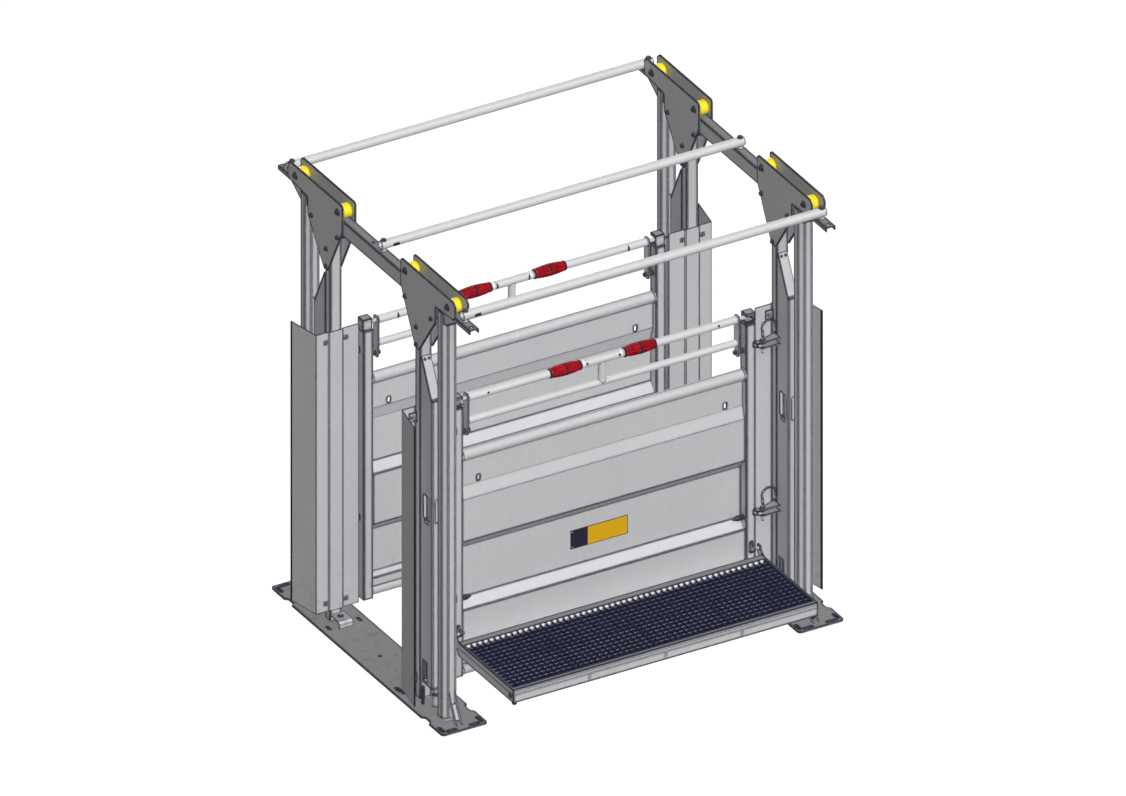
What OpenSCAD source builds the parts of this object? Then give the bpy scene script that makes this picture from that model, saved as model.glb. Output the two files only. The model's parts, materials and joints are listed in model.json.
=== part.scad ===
// Livestock handling race, all sizes in millimetres.
// X runs along the race, Y across it and Z up. The walkway stands on the -Y side.
// Side pieces are drawn once, in the +X +Y quarter, and mirrored to the other three.
// Base plates, outer columns and channels have the same hand at both ends, so they are
// drawn about their own column row and moved to each end.

/* [Columns] */
// Distance from the middle of the race to the middle of each column row
column_x = 1029; // [900:1:1300]
// Distance from the middle of the race to the middle of the inner columns
inner_col_y = 450; // [400:1:520]
// Width of an inner column along the race
inner_col_w = 66; // [50:1:80]
// Depth of an inner column across the race
inner_col_d = 48; // [40:1:60]
// Wall of the inner and outer columns
col_wall = 3; // [2:0.5:5]
// Width of an outer column along the race
outer_col_w = 78; // [60:1:90]
// Depth of an outer column across the race
outer_col_d = 75; // [50:1:90]
// Distance from the inner column's middle to the outer column's inboard face
outer_col_gap = 197; // [180:1:260]
// Size of the chamfer along one corner of the outer column
outer_col_chamfer = 25; // [10:1:30]

/* [Base plates] */
// Width of a base plate along the race
base_w = 265; // [220:1:320]
// Length of a base plate across the race
base_l = 1720; // [1640:1:1900]
// Thickness of a base plate
base_t = 10; // [6:1:16]
// Offset of a base plate's middle from its column row, along the race
base_shift_x = 14.5; // [0:0.5:30]
// Offset of a base plate's middle from the middle of the race, across it
base_shift_y = 16; // [0:1:30]
// Corner radius of a base plate
base_r = 20; // [8:1:30]
// Width of an anchor slot
slot_w = 14; // [10:1:22]
// Length of an anchor slot
slot_l = 56; // [30:1:60]
// Distance from an anchor slot's middle line to the plate edge
slot_edge = 22; // [16:1:30]

/* [Head plates and rollers] */
// Thickness of a head plate
head_t = 8; // [5:1:12]
// Height of the head plates' top edge
head_top = 2474; // [2300:1:2700]
// Height of a head plate from tip to top edge
head_h = 448; // [400:1:500]
// Diameter of a gate roller
roller_d = 75; // [60:1:90]
// Width of a gate roller's tread
roller_w = 50; // [36:1:58]
// Height of the roller axles below the head plates' top edge
roller_drop = 57; // [50:1:60]
// Diameter of a roller axle
axle_d = 16; // [12:1:20]
// Radial running clearance of a roller on its axle
roller_fit = 0.08; // [0.02:0.01:0.1]
// Diameter of a head plate bolt
head_bolt_d = 14; // [10:1:16]
// Reach of a head plate from the inner column's middle towards the race
head_reach = 160; // [150:1:170]
// Distance from the inner column's middle to the inboard roller
roller_in = 112; // [104:1:114]
// Distance from the inner column's middle to the outboard roller
roller_out = 310; // [300:1:320]
// Reach of a head plate past the outboard roller
head_tail = 78; // [70:1:90]
// Height of a head plate's outboard wing
wing_h = 116; // [108:1:124]

/* [Cross beams and roof rails] */
// Length of a cross beam across the race
beam_l = 1920; // [1840:2:2100]
// Width of a cross beam
beam_w = 54; // [46:1:60]
// Depth of a cross beam
beam_h = 85; // [60:1:100]
// Sheet thickness of a cross beam
beam_t = 5; // [3:0.5:8]
// Depth of the cross beams' top face below the head plates' top edge
beam_drop = 99; // [90:1:110]
// Diameter of a roof rail
roof_rail_d = 48.3; // [40:0.1:60]
// Wall of a roof rail
roof_rail_wall = 3; // [2:0.5:5]
// Distance from the middle of the race to the outer roof rails
roof_rail_y = 866; // [862:1:900]
// Distance of the middle roof rail from the middle of the race
roof_mid_y = 50; // [0:1:200]
// Height of the spacers between the cross beams and the roof rails
roof_lift = 15; // [5:1:40]
// How far a roof rail runs past the column row
roof_rail_over = 20; // [0:1:50]

/* [Guards] */
// Sheet thickness of a guard
guard_t = 4; // [2:0.5:6]
// Height of the guards' lower edge
guard_low = 70; // [60:1:100]
// Height of the guards' upper edge
guard_high = 1681; // [1500:1:1800]
// Distance from the column row to the guard's inner edge
guard_in = 134; // [120:1:140]
// Distance from the column row to the guard's bent corner
guard_out = 113; // [95:1:130]
// Length of the flared flange
flare_l = 195; // [120:1:220]
// Angle of the flared flange from straight across the race
flare_angle = 10.7; // [0:0.1:25]
// Depth of the step that fits the guard over the column
guard_step = 6; // [3:1:10]

/* [Side panels] */
// Half the distance between the outer faces of a panel's end posts
panel_x = 872; // [800:1:872]
// Width of a panel post along the race
post_w = 55; // [40:1:60]
// Depth of a panel post across the race
post_d = 60; // [44:1:64]
// Wall of a panel post
post_wall = 3; // [2:0.5:5]
// Height of the posts' lower end
post_low = 75; // [40:1:90]
// Height of the posts' upper end
post_high = 1632; // [1550:1:1632]
// Diameter of the main rail
main_rail_d = 60.3; // [50:0.1:76]
// Height of the main rail
main_rail_z = 1333; // [1250:1:1340]
// Diameter of the bottom rail
bottom_rail_d = 48.3; // [40:0.1:60]
// Height of the bottom rail
bottom_rail_z = 99; // [90:1:110]
// Wall of the rails
rail_wall = 3; // [2:0.5:5]
// Sheet thickness of the corrugated side sheet
sheet_t = 3; // [2:0.5:5]

/* [Flaps] */
// Height of the flap pivots
pivot_z = 1470; // [1450:1:1480]
// Height of the flap's top rail
flap_rail_z = 1658; // [1640:1:1680]
// Diameter of the flap's top rail
flap_rail_d = 42.4; // [38:0.1:50]
// Height of the flap's lower rail
flap_low_z = 1525; // [1515:1:1540]
// Diameter of the flap's lower rail
flap_low_d = 38; // [30:0.1:42]
// Wall of the flap's rails
flap_wall = 3.2; // [2:0.1:4]
// Thickness of a flap end plate
flap_end_t = 8; // [5:1:12]
// Clearance between a flap end plate and its post
flap_gap = 31; // [10:1:40]
// Diameter of a flap pivot bolt
pivot_d = 16; // [12:1:20]

/* [Latches] */
// Diameter of a latch rod
latch_d = 20; // [14:1:24]
// Travel of a latch
latch_travel = 40; // [25:1:45]
// Distance from the middle of the race to the middle of a grip
grip_x = 215; // [200:1:300]
// Length of a grip
grip_l = 185; // [140:1:200]
// Largest diameter of a grip
grip_d = 66; // [56:1:70]
// Radial clearance of a grip on the top rail
grip_fit = 0.3; // [0.2:0.1:0.6]

/* [Lock pins] */
// Diameter of a lock pin
lock_d = 16; // [12:1:18]
// Radial clearance of a lock pin in its lugs
lock_fit = 0.5; // [0.3:0.1:1]
// Thickness of a column lug
lug_t = 6; // [4:1:8]
// Thickness of the post lug between two column lugs
post_lug_t = 26; // [16:1:26]
// Height of the middle of the upper lugs
lug_high_z = 1506; // [1400:1:1550]
// Height of the middle of the lower lugs
lug_low_z = 539; // [500:1:700]
// Distance from the middle of the race to the lock pins
lock_y = 500; // [498:1:506]

/* [Walkway] */
// Half the length of the walkway along the race
walk_x = 880; // [700:1:880]
// Distance from the middle of the race to the walkway's back edge
walk_back = 535; // [530:1:560]
// Depth of the walkway across the race
walk_d = 555; // [400:1:700]
// Height of the walkway's top face
walk_top = 317; // [250:1:400]
// Height of the walkway's frame
walk_h = 77; // [60:1:90]
// Sheet thickness of the walkway's frame
walk_t = 5; // [3:1:6]
// Width of the walkway's rear rim
rim_back = 46; // [30:1:60]
// Width of the walkway's front rim
rim_front = 26; // [16:1:40]
// Pitch of the grating's bearing bars
grate_pitch = 33.3; // [30:0.1:50]
// Depth of the grating
grate_h = 25; // [20:1:30]
// Thickness of the grating's bars
grate_bar = 3; // [2:0.5:5]
// Height of the walkway hinge
walk_hinge_z = 341; // [330:1:360]
// Diameter of a walkway hinge pin
walk_pin_d = 14; // [10:1:16]

/* [Hidden] */
$fn = 48;

// Overlap that keeps a cut clear of the face it leaves
cut = 1;
left = -1;
right = 1;
front = -1;
rear = 1;

// Shift that puts the origin at the middle of the whole model's footprint
walk_reach = walk_back + walk_d;
centre_shift = (walk_reach - beam_l / 2) / 2;

steel = [0.72, 0.73, 0.74];
plate_steel = [0.5, 0.51, 0.5];
bolt_steel = [0.16, 0.16, 0.2];
roller_yellow = [0.95, 0.82, 0.12];
grip_red = [0.7, 0.06, 0.1];
grate_dark = [0.12, 0.12, 0.2];

// Columns
inner_col_in = inner_col_y - inner_col_d / 2;
inner_col_out = inner_col_y + inner_col_d / 2;
outer_col_in = inner_col_y + outer_col_gap;
outer_col_out = outer_col_in + outer_col_d;
beam_top = head_top - beam_drop;
beam_low = beam_top - beam_h;
inner_col_top = beam_low;
wing_z = head_top - wing_h;
outer_col_top = wing_z - 2;

// Base plates
base_half = base_l / 2;
slot_x = base_w / 2 - slot_edge - slot_l / 2 - slot_w / 2 - 9;
waist_y = outer_col_in + outer_col_d / 2;

// Head plates: outline in Y and Z, from the middle of the race and the top edge
head_inner = column_x - inner_col_w / 2 - head_t;
head_outer = column_x + inner_col_w / 2;
head_y0 = inner_col_y - head_reach;
roller_in_y = inner_col_y - roller_in;
roller_out_y = inner_col_y + roller_out;
head_y1 = roller_out_y + head_tail;
axle_z = head_top - roller_drop;
head_bolt_points = [
    [roller_in_y, beam_low - head_bolt_d / 2 - 12],
    [outer_col_in - 49, beam_low - head_bolt_d / 2 - 12],
    [inner_col_y + 1, head_top - head_h + 125],
    [inner_col_y + 1, head_top - head_h + 23]
];

// Roof rails
rail_axis_z = beam_top + roof_lift + roof_rail_d / 2;
roof_rail_half = column_x + roof_rail_over;

// Guards
guard_y = inner_col_in - guard_t;
guard_lug_z = [guard_low + 49, guard_high - 57];
guard_lug_reach = 58;
guard_lug_h = 54;
guard_bolt_d = 12;

// Side panels
post_in = panel_x - post_w;
post_mid = panel_x - post_w / 2;
post_y_in = inner_col_y - post_d / 2;
post_y_out = inner_col_y + post_d / 2;
keeper_h = 60;
keeper_low = flap_rail_z - keeper_h / 2;
keeper_t = 5;
sheet_top = main_rail_z - main_rail_d / 2;
sheet_low = bottom_rail_z + bottom_rail_d / 2;
sheet_h = sheet_top - sheet_low;
bottom_rail_out = 8;
sheet_foot = bottom_rail_z + sqrt(pow(bottom_rail_d / 2, 2) - pow(bottom_rail_out, 2));

// Flaps
flap_end_out = post_in - flap_gap;
flap_end_in = flap_end_out - flap_end_t;
flap_end_r = 26;

// Latches
latch_fit = 0.3;
latch_in = grip_x - 24;
latch_out = post_mid + 8;
link_d = 10;

// Lock pins
lock_x = column_x - inner_col_w / 2 - 96;
lug_r = 18;
lug_root = 22;
lock_gap = 0.4;
lock_head_h = 8;
lock_below = 32;
ring_wire = 4;
ring_d = 30;

// Walkway
walk_low = walk_top - walk_h;
walk_hinge_y = post_y_out + 24;
walk_ear_x = walk_x - 6;
hinge_fit = 0.05;
grate_back = walk_back + rim_back;
grate_front = walk_reach - rim_front;
grate_half = walk_x - 14;
grate_ledge = 8;
grate_fit = 1;

// Mirrors a piece drawn in the +X +Y quarter to the named corner
module corner(sx, sy) {
    mirror([sx < 0 ? 1 : 0, 0, 0])
        mirror([0, sy < 0 ? 1 : 0, 0])
            children();
}

// The four corners of the race
module corners() {
    for (sx = [left, right], sy = [front, rear])
        corner(sx, sy) children();
}

// Moves a piece drawn about its own column row to both ends and both sides
module rows() {
    for (side = [left, right], sy = [front, rear])
        row(side, sy) children();
}

module row(side, sy) {
    translate([side * column_x, 0, 0])
        mirror([0, sy < 0 ? 1 : 0, 0])
            children();
}

// Moves the finished piece so that the origin is at the middle of the footprint
module place(c) {
    color(c) translate([0, centre_shift, 0]) children();
}

// Points of one rounded corner: before, corner, after and radius
function unit(v) = v / norm(v);
function corner_arc(a, p, b, r, steps = 5) =
    r <= 0 ? [p] :
    let (
        u = unit(a - p),
        v = unit(b - p),
        half = acos(max(-1, min(1, u * v))) / 2,
        centre = p + unit(u + v) * r / sin(half),
        from = p + u * r / tan(half) - centre,
        to = p + v * r / tan(half) - centre,
        a0 = atan2(from[1], from[0]),
        turn = atan2(to[1], to[0]) - a0,
        sweep = turn > 180 ? turn - 360 : turn < -180 ? turn + 360 : turn
    )
    [for (i = [0:steps]) centre + r * [cos(a0 + sweep * i / steps), sin(a0 + sweep * i / steps)]];

// Outline through [x, y, radius] points with each corner rounded
function rounded(pts) =
    let (n = len(pts))
    [for (i = [0:n - 1])
        let (
            a = pts[(i + n - 1) % n],
            p = pts[i],
            b = pts[(i + 1) % n]
        )
        each corner_arc([a[0], a[1]], [p[0], p[1]], [b[0], b[1]], p[2])];

// Extrudes a Y-Z outline along X from x0 to x1
module extrude_x(x0, x1) {
    translate([x0, 0, 0])
        rotate([90, 0, 90])
            linear_extrude(x1 - x0) children();
}

// Round bar or tube along X
module bar_x(x0, x1, y, z, d) {
    translate([x0, y, z])
        rotate([0, 90, 0])
            cylinder(d = d, h = x1 - x0);
}

module tube_x(x0, x1, y, z, d, wall) {
    difference() {
        bar_x(x0, x1, y, z, d);
        bar_x(x0 - cut, x1 + cut, y, z, d - 2 * wall);
    }
}

// Stadium-shaped slot outline, long along Y
module slot_y(w, l) {
    square([w, l - w], center = true);
    for (s = [-1, 1])
        translate([0, s * (l - w) / 2]) circle(d = w);
}

// Rectangular hollow section standing on z0
module hollow_post(w, d, wall, z0, z1) {
    translate([0, 0, z0])
        linear_extrude(z1 - z0)
            difference() {
                square([w, d], center = true);
                square([w - 2 * wall, d - 2 * wall], center = true);
            }
}

// Base plate with waisted sides, anchor slots and tie-down holes
module base_outline() {
    difference() {
        polygon(rounded([
            [-base_w / 2, -base_half, base_r],
            [base_w / 2, -base_half, base_r],
            [base_w / 2, base_half, base_r],
            [-base_w / 2, base_half, base_r]
        ]));
        for (sx = [-1, 1], sy = [-1, 1]) {
            translate([sx * base_w / 2, sy * waist_y])
                polygon(rounded([
                    [-17 * sx, -22, 10],
                    [20 * sx, -60, 0],
                    [20 * sx, 60, 0],
                    [-17 * sx, 22, 10]
                ]));
            translate([sx * (base_w / 2 - slot_edge), sy * (base_half - slot_edge - slot_l / 2)])
                slot_y(slot_w, slot_l);
            translate([sx * slot_x, sy * (base_half - slot_edge)])
                rotate(90) slot_y(slot_w, slot_l);
            for (pair = [-11, 11])
                translate([sx * 89, sy * 371 - base_shift_y + pair]) square(12, center = true);
        }
        translate([-94, -336 - base_shift_y]) slot_y(14, 46);
        translate([-6, -base_shift_y]) circle(d = 12);
    }
}

module base_plate(side) {
    place(plate_steel)
        translate([side * column_x + base_shift_x, base_shift_y, 0])
            linear_extrude(base_t) base_outline();
}

// Inner column: the post that carries guard, channel and head plates
module inner_column() {
    difference() {
        translate([column_x, inner_col_y, 0])
            hollow_post(inner_col_w, inner_col_d, col_wall, base_t, inner_col_top);
        for (i = [2, 3])
            bar_x(head_inner, head_outer + head_t, head_bolt_points[i][0], head_bolt_points[i][1],
                head_bolt_d + 1);
    }
    for (z = guard_lug_z, sx = [-1, 1])
        translate([column_x, 0, z])
            guard_lug(sx);
    for (z = [lug_low_z, lug_high_z])
        column_lugs(z);
}

// Welded lug that a guard bolt passes through
module guard_lug(sx) {
    inner = inner_col_w / 2;
    x0 = sx > 0 ? inner : -inner - guard_lug_reach + 14;
    difference() {
        translate([x0, guard_y + guard_t + guard_step, -guard_lug_h / 2])
            cube([guard_lug_reach - 14, 6, guard_lug_h]);
        translate([sx * guard_lug_reach, guard_y, 0])
            rotate([-90, 0, 0]) cylinder(d = guard_bolt_d + 1, h = 40);
    }
}

// Two lugs that reach the lock pin, with room for the post lug between
module column_lugs(z) {
    root_x = column_x - inner_col_w / 2;
    for (s = [-1, 1])
        translate([0, 0, z + s * (post_lug_t / 2 + lock_gap + lug_t / 2) - lug_t / 2])
            linear_extrude(lug_t)
                difference() {
                    union() {
                        polygon([
                            [root_x, lock_y + lug_r - 2],
                            [root_x, inner_col_out - lug_root],
                            [lock_x, lock_y - lug_r],
                            [lock_x, lock_y + lug_r]
                        ]);
                        translate([lock_x, lock_y]) circle(r = lug_r);
                    }
                    translate([lock_x, lock_y]) circle(d = lock_d + 2 * lock_fit);
                }
}

module inner_columns() {
    place(steel)
        corners() inner_column();
}

// Outer column: closed folded section, chamfered on the corner towards -X -Y
module outer_section(shrink) {
    w = outer_col_w / 2 - shrink;
    d = outer_col_d / 2 - shrink;
    c = outer_col_chamfer - shrink * 0.6;
    polygon(rounded([
        [-w, -d + c, 4],
        [-w + c, -d, 4],
        [w, -d, 12],
        [w, d, 6],
        [-w + 10, d, 3],
        [-w, d - 10, 3]
    ]));
}

module outer_column() {
    difference() {
        translate([0, 0, base_t])
            linear_extrude(outer_col_top - base_t)
                difference() {
                    outer_section(0);
                    outer_section(col_wall);
                }
        // Slot that the cross beam drops into
        translate([-beam_w / 2 - 0.5, -outer_col_d, beam_low])
            cube([beam_w + 1, 2 * outer_col_d, beam_h]);
    }
}

module outer_columns() {
    place(steel)
        for (side = [left, right], sy = [front, rear])
            translate([side * column_x, sy * (outer_col_in + outer_col_d / 2), 0])
                outer_column();
}

// Channel brace, open on its outer side, between an outer column and its base plate
strut_top = base_t + 165;
strut_run = 84;
strut_w = 34;
strut_d = 22;
strut_t = 3;
strut_notch = 16;

module strut_side(inset) {
    y0 = outer_col_out;
    y1 = y0 + strut_run;
    polygon([
        [y0, strut_top - inset],
        [y1 - inset * 0.5, base_t],
        [y1 - strut_d - 6 + inset * 0.5, base_t],
        [y0, strut_top - 58 + inset]
    ]);
}

module column_strut() {
    x0 = 6 - strut_w / 2;
    difference() {
        extrude_x(x0, x0 + strut_w) strut_side(0);
        extrude_x(x0 + strut_t, x0 + strut_w - strut_t) {
            translate([2 * strut_t, strut_t]) strut_side(0);
            // Notched ends of the web
            translate([outer_col_out - cut, strut_top - 58 - strut_notch])
                square([strut_run, 58 + strut_notch + cut]);
            translate([outer_col_out, base_t - cut]) square([strut_run + cut, strut_notch]);
        }
    }
}

module column_struts() {
    place(steel) rows() column_strut();
}

// Threshold bracket on the base plate, with a sloping nose towards the race
foot_w = 81;
foot_h = 38;
foot_t = 5;
foot_chamfer = 15;
foot_l = inner_col_in - (inner_col_y - 119);

module foot_bracket() {
    x0 = 47 - foot_w;
    y0 = inner_col_in - foot_l;
    difference() {
        extrude_x(x0, x0 + foot_w)
            polygon(rounded([
                [y0, base_t, 0],
                [inner_col_in, base_t, 0],
                [inner_col_in, base_t + foot_h, 0],
                [y0 + foot_chamfer, base_t + foot_h, 4],
                [y0, base_t + foot_h - foot_chamfer, 4]
            ]));
        extrude_x(x0 - cut, x0 + foot_w + cut)
            polygon(rounded([
                [y0 + foot_t, base_t - cut, 0],
                [inner_col_in - foot_t, base_t - cut, 0],
                [inner_col_in - foot_t, base_t + foot_h - foot_t, 2],
                [y0 + foot_chamfer + 2, base_t + foot_h - foot_t, 2],
                [y0 + foot_t, base_t + foot_h - foot_chamfer - 2, 2]
            ]));
        translate([6, y0 + 58, base_t])
            cylinder(d = 14, h = foot_h + cut);
    }
    translate([6, y0 + 58, base_t + foot_h])
        cylinder(d = 22, h = 8, $fn = 6);
}

module foot_brackets() {
    place(steel) rows() foot_bracket();
}

// Stanchion channel on the inner column's outboard side, with its web towards -X
chan_d = 119;
chan_w = 60;
chan_t = 4;
chan_low = 119;
chan_y0 = inner_col_out;
chan_y1 = chan_y0 + chan_d;
chan_x0 = -inner_col_w / 2;
chan_x1 = chan_x0 + chan_w;
chan_top_in = 1990;
chan_top_out = 1784;
window_z = 1145;
window_h = 127;
guide_depth = 22;
guide_t = 3;
guide_h = 122;

module stanchion_channel() {
    difference() {
        translate([0, 0, chan_low])
            linear_extrude(chan_top_in - chan_low)
                polygon(rounded([
                    [chan_x0, chan_y0, 0],
                    [chan_x1, chan_y0, 0],
                    [chan_x1, chan_y0 + chan_t, 0],
                    [chan_x0 + chan_t, chan_y0 + chan_t, 2],
                    [chan_x0 + chan_t, chan_y1 - chan_t, 2],
                    [chan_x1, chan_y1 - chan_t, 0],
                    [chan_x1, chan_y1, 0],
                    [chan_x0, chan_y1, 6]
                ]));
        // Slanted top
        extrude_x(chan_x0 - cut, chan_x1 + cut)
            polygon([
                [chan_y0 + 12, chan_top_in],
                [chan_y1 - 8, chan_top_out],
                [chan_y1 + cut, chan_top_out],
                [chan_y1 + cut, chan_top_in + cut],
                [chan_y0 + 12, chan_top_in + cut]
            ]);
        // Window through the web, with the dark slot below it
        translate([chan_x0 - chan_t, chan_y0 + 32, window_z - window_h / 2])
            cube([3 * chan_t, 60, window_h]);
        translate([chan_x0 - chan_t, chan_y0 + 44, window_z - window_h / 2 - 24])
            cube([3 * chan_t, 36, 8]);
        translate([chan_x0 + 22, chan_y1 - 2 * chan_t, window_z - window_h / 2])
            cube([24, 3 * chan_t, window_h]);
        // Slot that shows the drop pin
        translate([chan_x0 - chan_t, chan_y0 + 30, chan_low + 21])
            cube([3 * chan_t, 34, 110]);
    }
    // Tab that stands in the window
    translate([chan_x0 + chan_t, chan_y0 + 52, window_z - window_h / 2 - 12])
        cube([14, 4, window_h + 24]);
    // Guide box behind the drop pin's slot
    difference() {
        translate([chan_x0 + chan_t - 1, chan_y0 + 25, chan_low + 15])
            cube([guide_depth, 44, guide_h]);
        translate([chan_x0 + chan_t - 1 - cut, chan_y0 + 25 + guide_t, chan_low + 15 - cut])
            cube([guide_depth - guide_t + cut, 44 - 2 * guide_t, guide_h + 2 * cut]);
    }
    // Round foot under the outboard flange
    translate([chan_x0 + 34, chan_y1 - 24, base_t])
        cylinder(d = 36, h = chan_low - base_t - 40);
    translate([chan_x0 + 34, chan_y1 - 24, chan_low - 40])
        cylinder(d = 24, h = 70);
    translate([chan_x0 + chan_t, chan_y1 - 24, chan_low])
        cube([36, 24 - chan_t, 6]);
}

module channel(side, face) {
    place(steel) row(side, face) stanchion_channel();
}

// Plate screwed on the slanted top of a channel
ramp_w = chan_w - 7;
ramp_t = 5;
ramp_angle = atan2(chan_top_in - chan_top_out, chan_d - 20);
ramp_l = norm([chan_top_in - chan_top_out, chan_d - 20]) + 6;

module ramp() {
    translate([chan_x0 + 0.5, chan_y0 + 12, chan_top_in + 0.05])
        rotate([-ramp_angle, 0, 0]) {
            translate([0, -6, 0]) cube([ramp_w, ramp_l, ramp_t]);
            translate([0, ramp_l - 12, 0]) cube([ramp_w, ramp_t, 18]);
            for (s = [-1, 1])
                translate([ramp_w / 2 + s * 12, 14, ramp_t])
                    cylinder(d = 11, h = 4);
        }
}

module channel_ramps() {
    place(steel) rows() ramp();
}

// Dome-headed pin that stands on the base plate beside each channel
drop_pin_d = 22;
drop_pin_x = chan_x0 - drop_pin_d / 2 - 0.3;
drop_pin_y = chan_y0 + 47;

module drop_pin() {
    translate([drop_pin_x, drop_pin_y, base_t]) {
        cylinder(d = drop_pin_d - 4, h = 30);
        translate([0, 0, 30]) cylinder(d = drop_pin_d, h = 66);
        translate([0, 0, 96])
            intersection() {
                sphere(d = drop_pin_d);
                cylinder(d = drop_pin_d, h = drop_pin_d);
            }
    }
}

module channel_drop_pins() {
    place(bolt_steel) rows() drop_pin();
}

// Head plates: one on each side of the column row, joined by bolts
module head_outline() {
    tip_z = head_top - head_h;
    polygon(rounded([
        [head_y0, head_top, 20],
        [head_y0, head_top - 154, 20],
        [inner_col_in + 10, tip_z + 2, 16],
        [inner_col_out + 2, tip_z, 16],
        [outer_col_in - 8, wing_z - 96, 6],
        [outer_col_in - 8, wing_z, 4],
        [head_y1 - 12, wing_z + 12, 12],
        [head_y1, wing_z + 34, 12],
        [head_y1, head_top - 22, 14],
        [head_y1 - 22, head_top, 14]
    ]));
}

module head_plate_pair() {
    difference() {
        for (x = [head_inner, head_outer])
            extrude_x(x, x + head_t) head_outline();
        for (p = head_bolt_points)
            bar_x(head_inner - cut, head_outer + head_t + cut, p[0], p[1], head_bolt_d + 0.4);
        for (y = [roller_in_y, roller_out_y])
            bar_x(head_inner - cut, head_outer + head_t + cut, y, axle_z, axle_d + 0.4);
    }
}

module head_plates(side) {
    place(plate_steel)
        for (sy = [front, rear])
            corner(side, sy) head_plate_pair();
}

// Bolt through both head plates, with a hexagon head and nut
module through_bolt(y, z, d) {
    bar_x(head_inner, head_outer + head_t, y, z, d);
    translate([head_outer + head_t, y, z])
        rotate([0, 90, 0]) {
            cylinder(d = 2 * d, h = 2);
            translate([0, 0, 2]) cylinder(d = 1.7 * d, h = 0.6 * d, $fn = 6);
        }
    translate([head_inner, y, z])
        rotate([0, -90, 0]) {
            cylinder(d = 2 * d, h = 2);
            translate([0, 0, 2]) cylinder(d = 1.7 * d, h = 0.7 * d, $fn = 6);
        }
}

module head_bolts() {
    place(bolt_steel)
        corners() {
            for (p = head_bolt_points)
                through_bolt(p[0], p[1], head_bolt_d);
            // Spacer sleeves between the plates on the two bolts beside the column
            for (i = [0, 1])
                tube_x(head_inner + head_t + 0.2, head_outer - 0.2, head_bolt_points[i][0],
                    head_bolt_points[i][1], head_bolt_d + 12, 5.8);
        }
}

module roller_axles() {
    place(bolt_steel)
        corners()
            for (y = [roller_in_y, roller_out_y])
                through_bolt(y, axle_z, axle_d);
}

// Gate roller with a crowned tread and hubs that space it between the plates
hub_d = 30;
hub_gap = 0.5;

module roller_shape(y) {
    tread = roller_w / 2;
    hub = inner_col_w / 2 - hub_gap;
    bore = axle_d / 2 + roller_fit;
    translate([column_x, y, axle_z])
        rotate([0, 90, 0])
            rotate_extrude()
                polygon([
                    [bore, -hub],
                    [hub_d / 2, -hub],
                    [hub_d / 2, -tread + 4],
                    [roller_d / 2 - 9, -tread + 4],
                    [roller_d / 2 - 6, -tread],
                    [roller_d / 2 - 3, -tread],
                    [roller_d / 2, -tread + 5],
                    [roller_d / 2, tread - 5],
                    [roller_d / 2 - 3, tread],
                    [roller_d / 2 - 6, tread],
                    [roller_d / 2 - 9, tread - 4],
                    [hub_d / 2, tread - 4],
                    [hub_d / 2, hub],
                    [bore, hub]
                ]);
}

module roller(side, face, y) {
    place(roller_yellow) corner(side, face) roller_shape(y);
}

// Cross beam: inverted channel whose flanges taper to shallow tips
module cross_beam(side) {
    half = beam_l / 2;
    taper_in = outer_col_out + 10;
    taper_out = taper_in + 93;
    tip_h = 24;
    place(plate_steel)
        corner(side, rear)
            difference() {
                extrude_x(column_x - beam_w / 2, column_x + beam_w / 2)
                    polygon([
                        [-half, beam_top],
                        [half, beam_top],
                        [half, beam_top - tip_h],
                        [taper_out, beam_top - tip_h],
                        [taper_in, beam_low],
                        [-taper_in, beam_low],
                        [-taper_out, beam_top - tip_h],
                        [-half, beam_top - tip_h]
                    ]);
                extrude_x(column_x - beam_w / 2 + beam_t, column_x + beam_w / 2 - beam_t)
                    translate([-half - cut, beam_low - cut])
                        square([beam_l + 2 * cut, beam_h - beam_t + cut]);
                for (sy = [-1, 1])
                    translate([column_x, sy * (half - 30), beam_low])
                        cylinder(d = 14, h = beam_h + cut);
                // Spare hole for the middle roof rail
                translate([column_x, roof_mid_y, beam_top - beam_t - cut])
                    cylinder(d = 11, h = beam_t + 2 * cut);
            }
}

// Roof rail with a dome-headed bolt at each end
rail_spacer_d = 30;
rail_slot_l = 31;
rail_slot_h = 13;

module roof_rail(y) {
    place(steel) {
        difference() {
            tube_x(-roof_rail_half, roof_rail_half, y, rail_axis_z, roof_rail_d, roof_rail_wall);
            // Drain slot near the left end
            translate([rail_slot_l - roof_rail_half + 36, y - roof_rail_d, rail_axis_z - rail_slot_h])
                cube([rail_slot_l, roof_rail_d, rail_slot_h]);
        }
        for (sx = [-1, 1]) {
            translate([sx * column_x, y, rail_axis_z + roof_rail_d / 2 - 2])
                cylinder(d = 24, h = 10);
            // Spacer on the beam, saddled to the rail
            difference() {
                translate([sx * column_x, y, beam_top])
                    cylinder(d = rail_spacer_d, h = rail_axis_z - beam_top);
                bar_x(-roof_rail_half, roof_rail_half, y, rail_axis_z, roof_rail_d - 1);
            }
        }
    }
}

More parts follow.
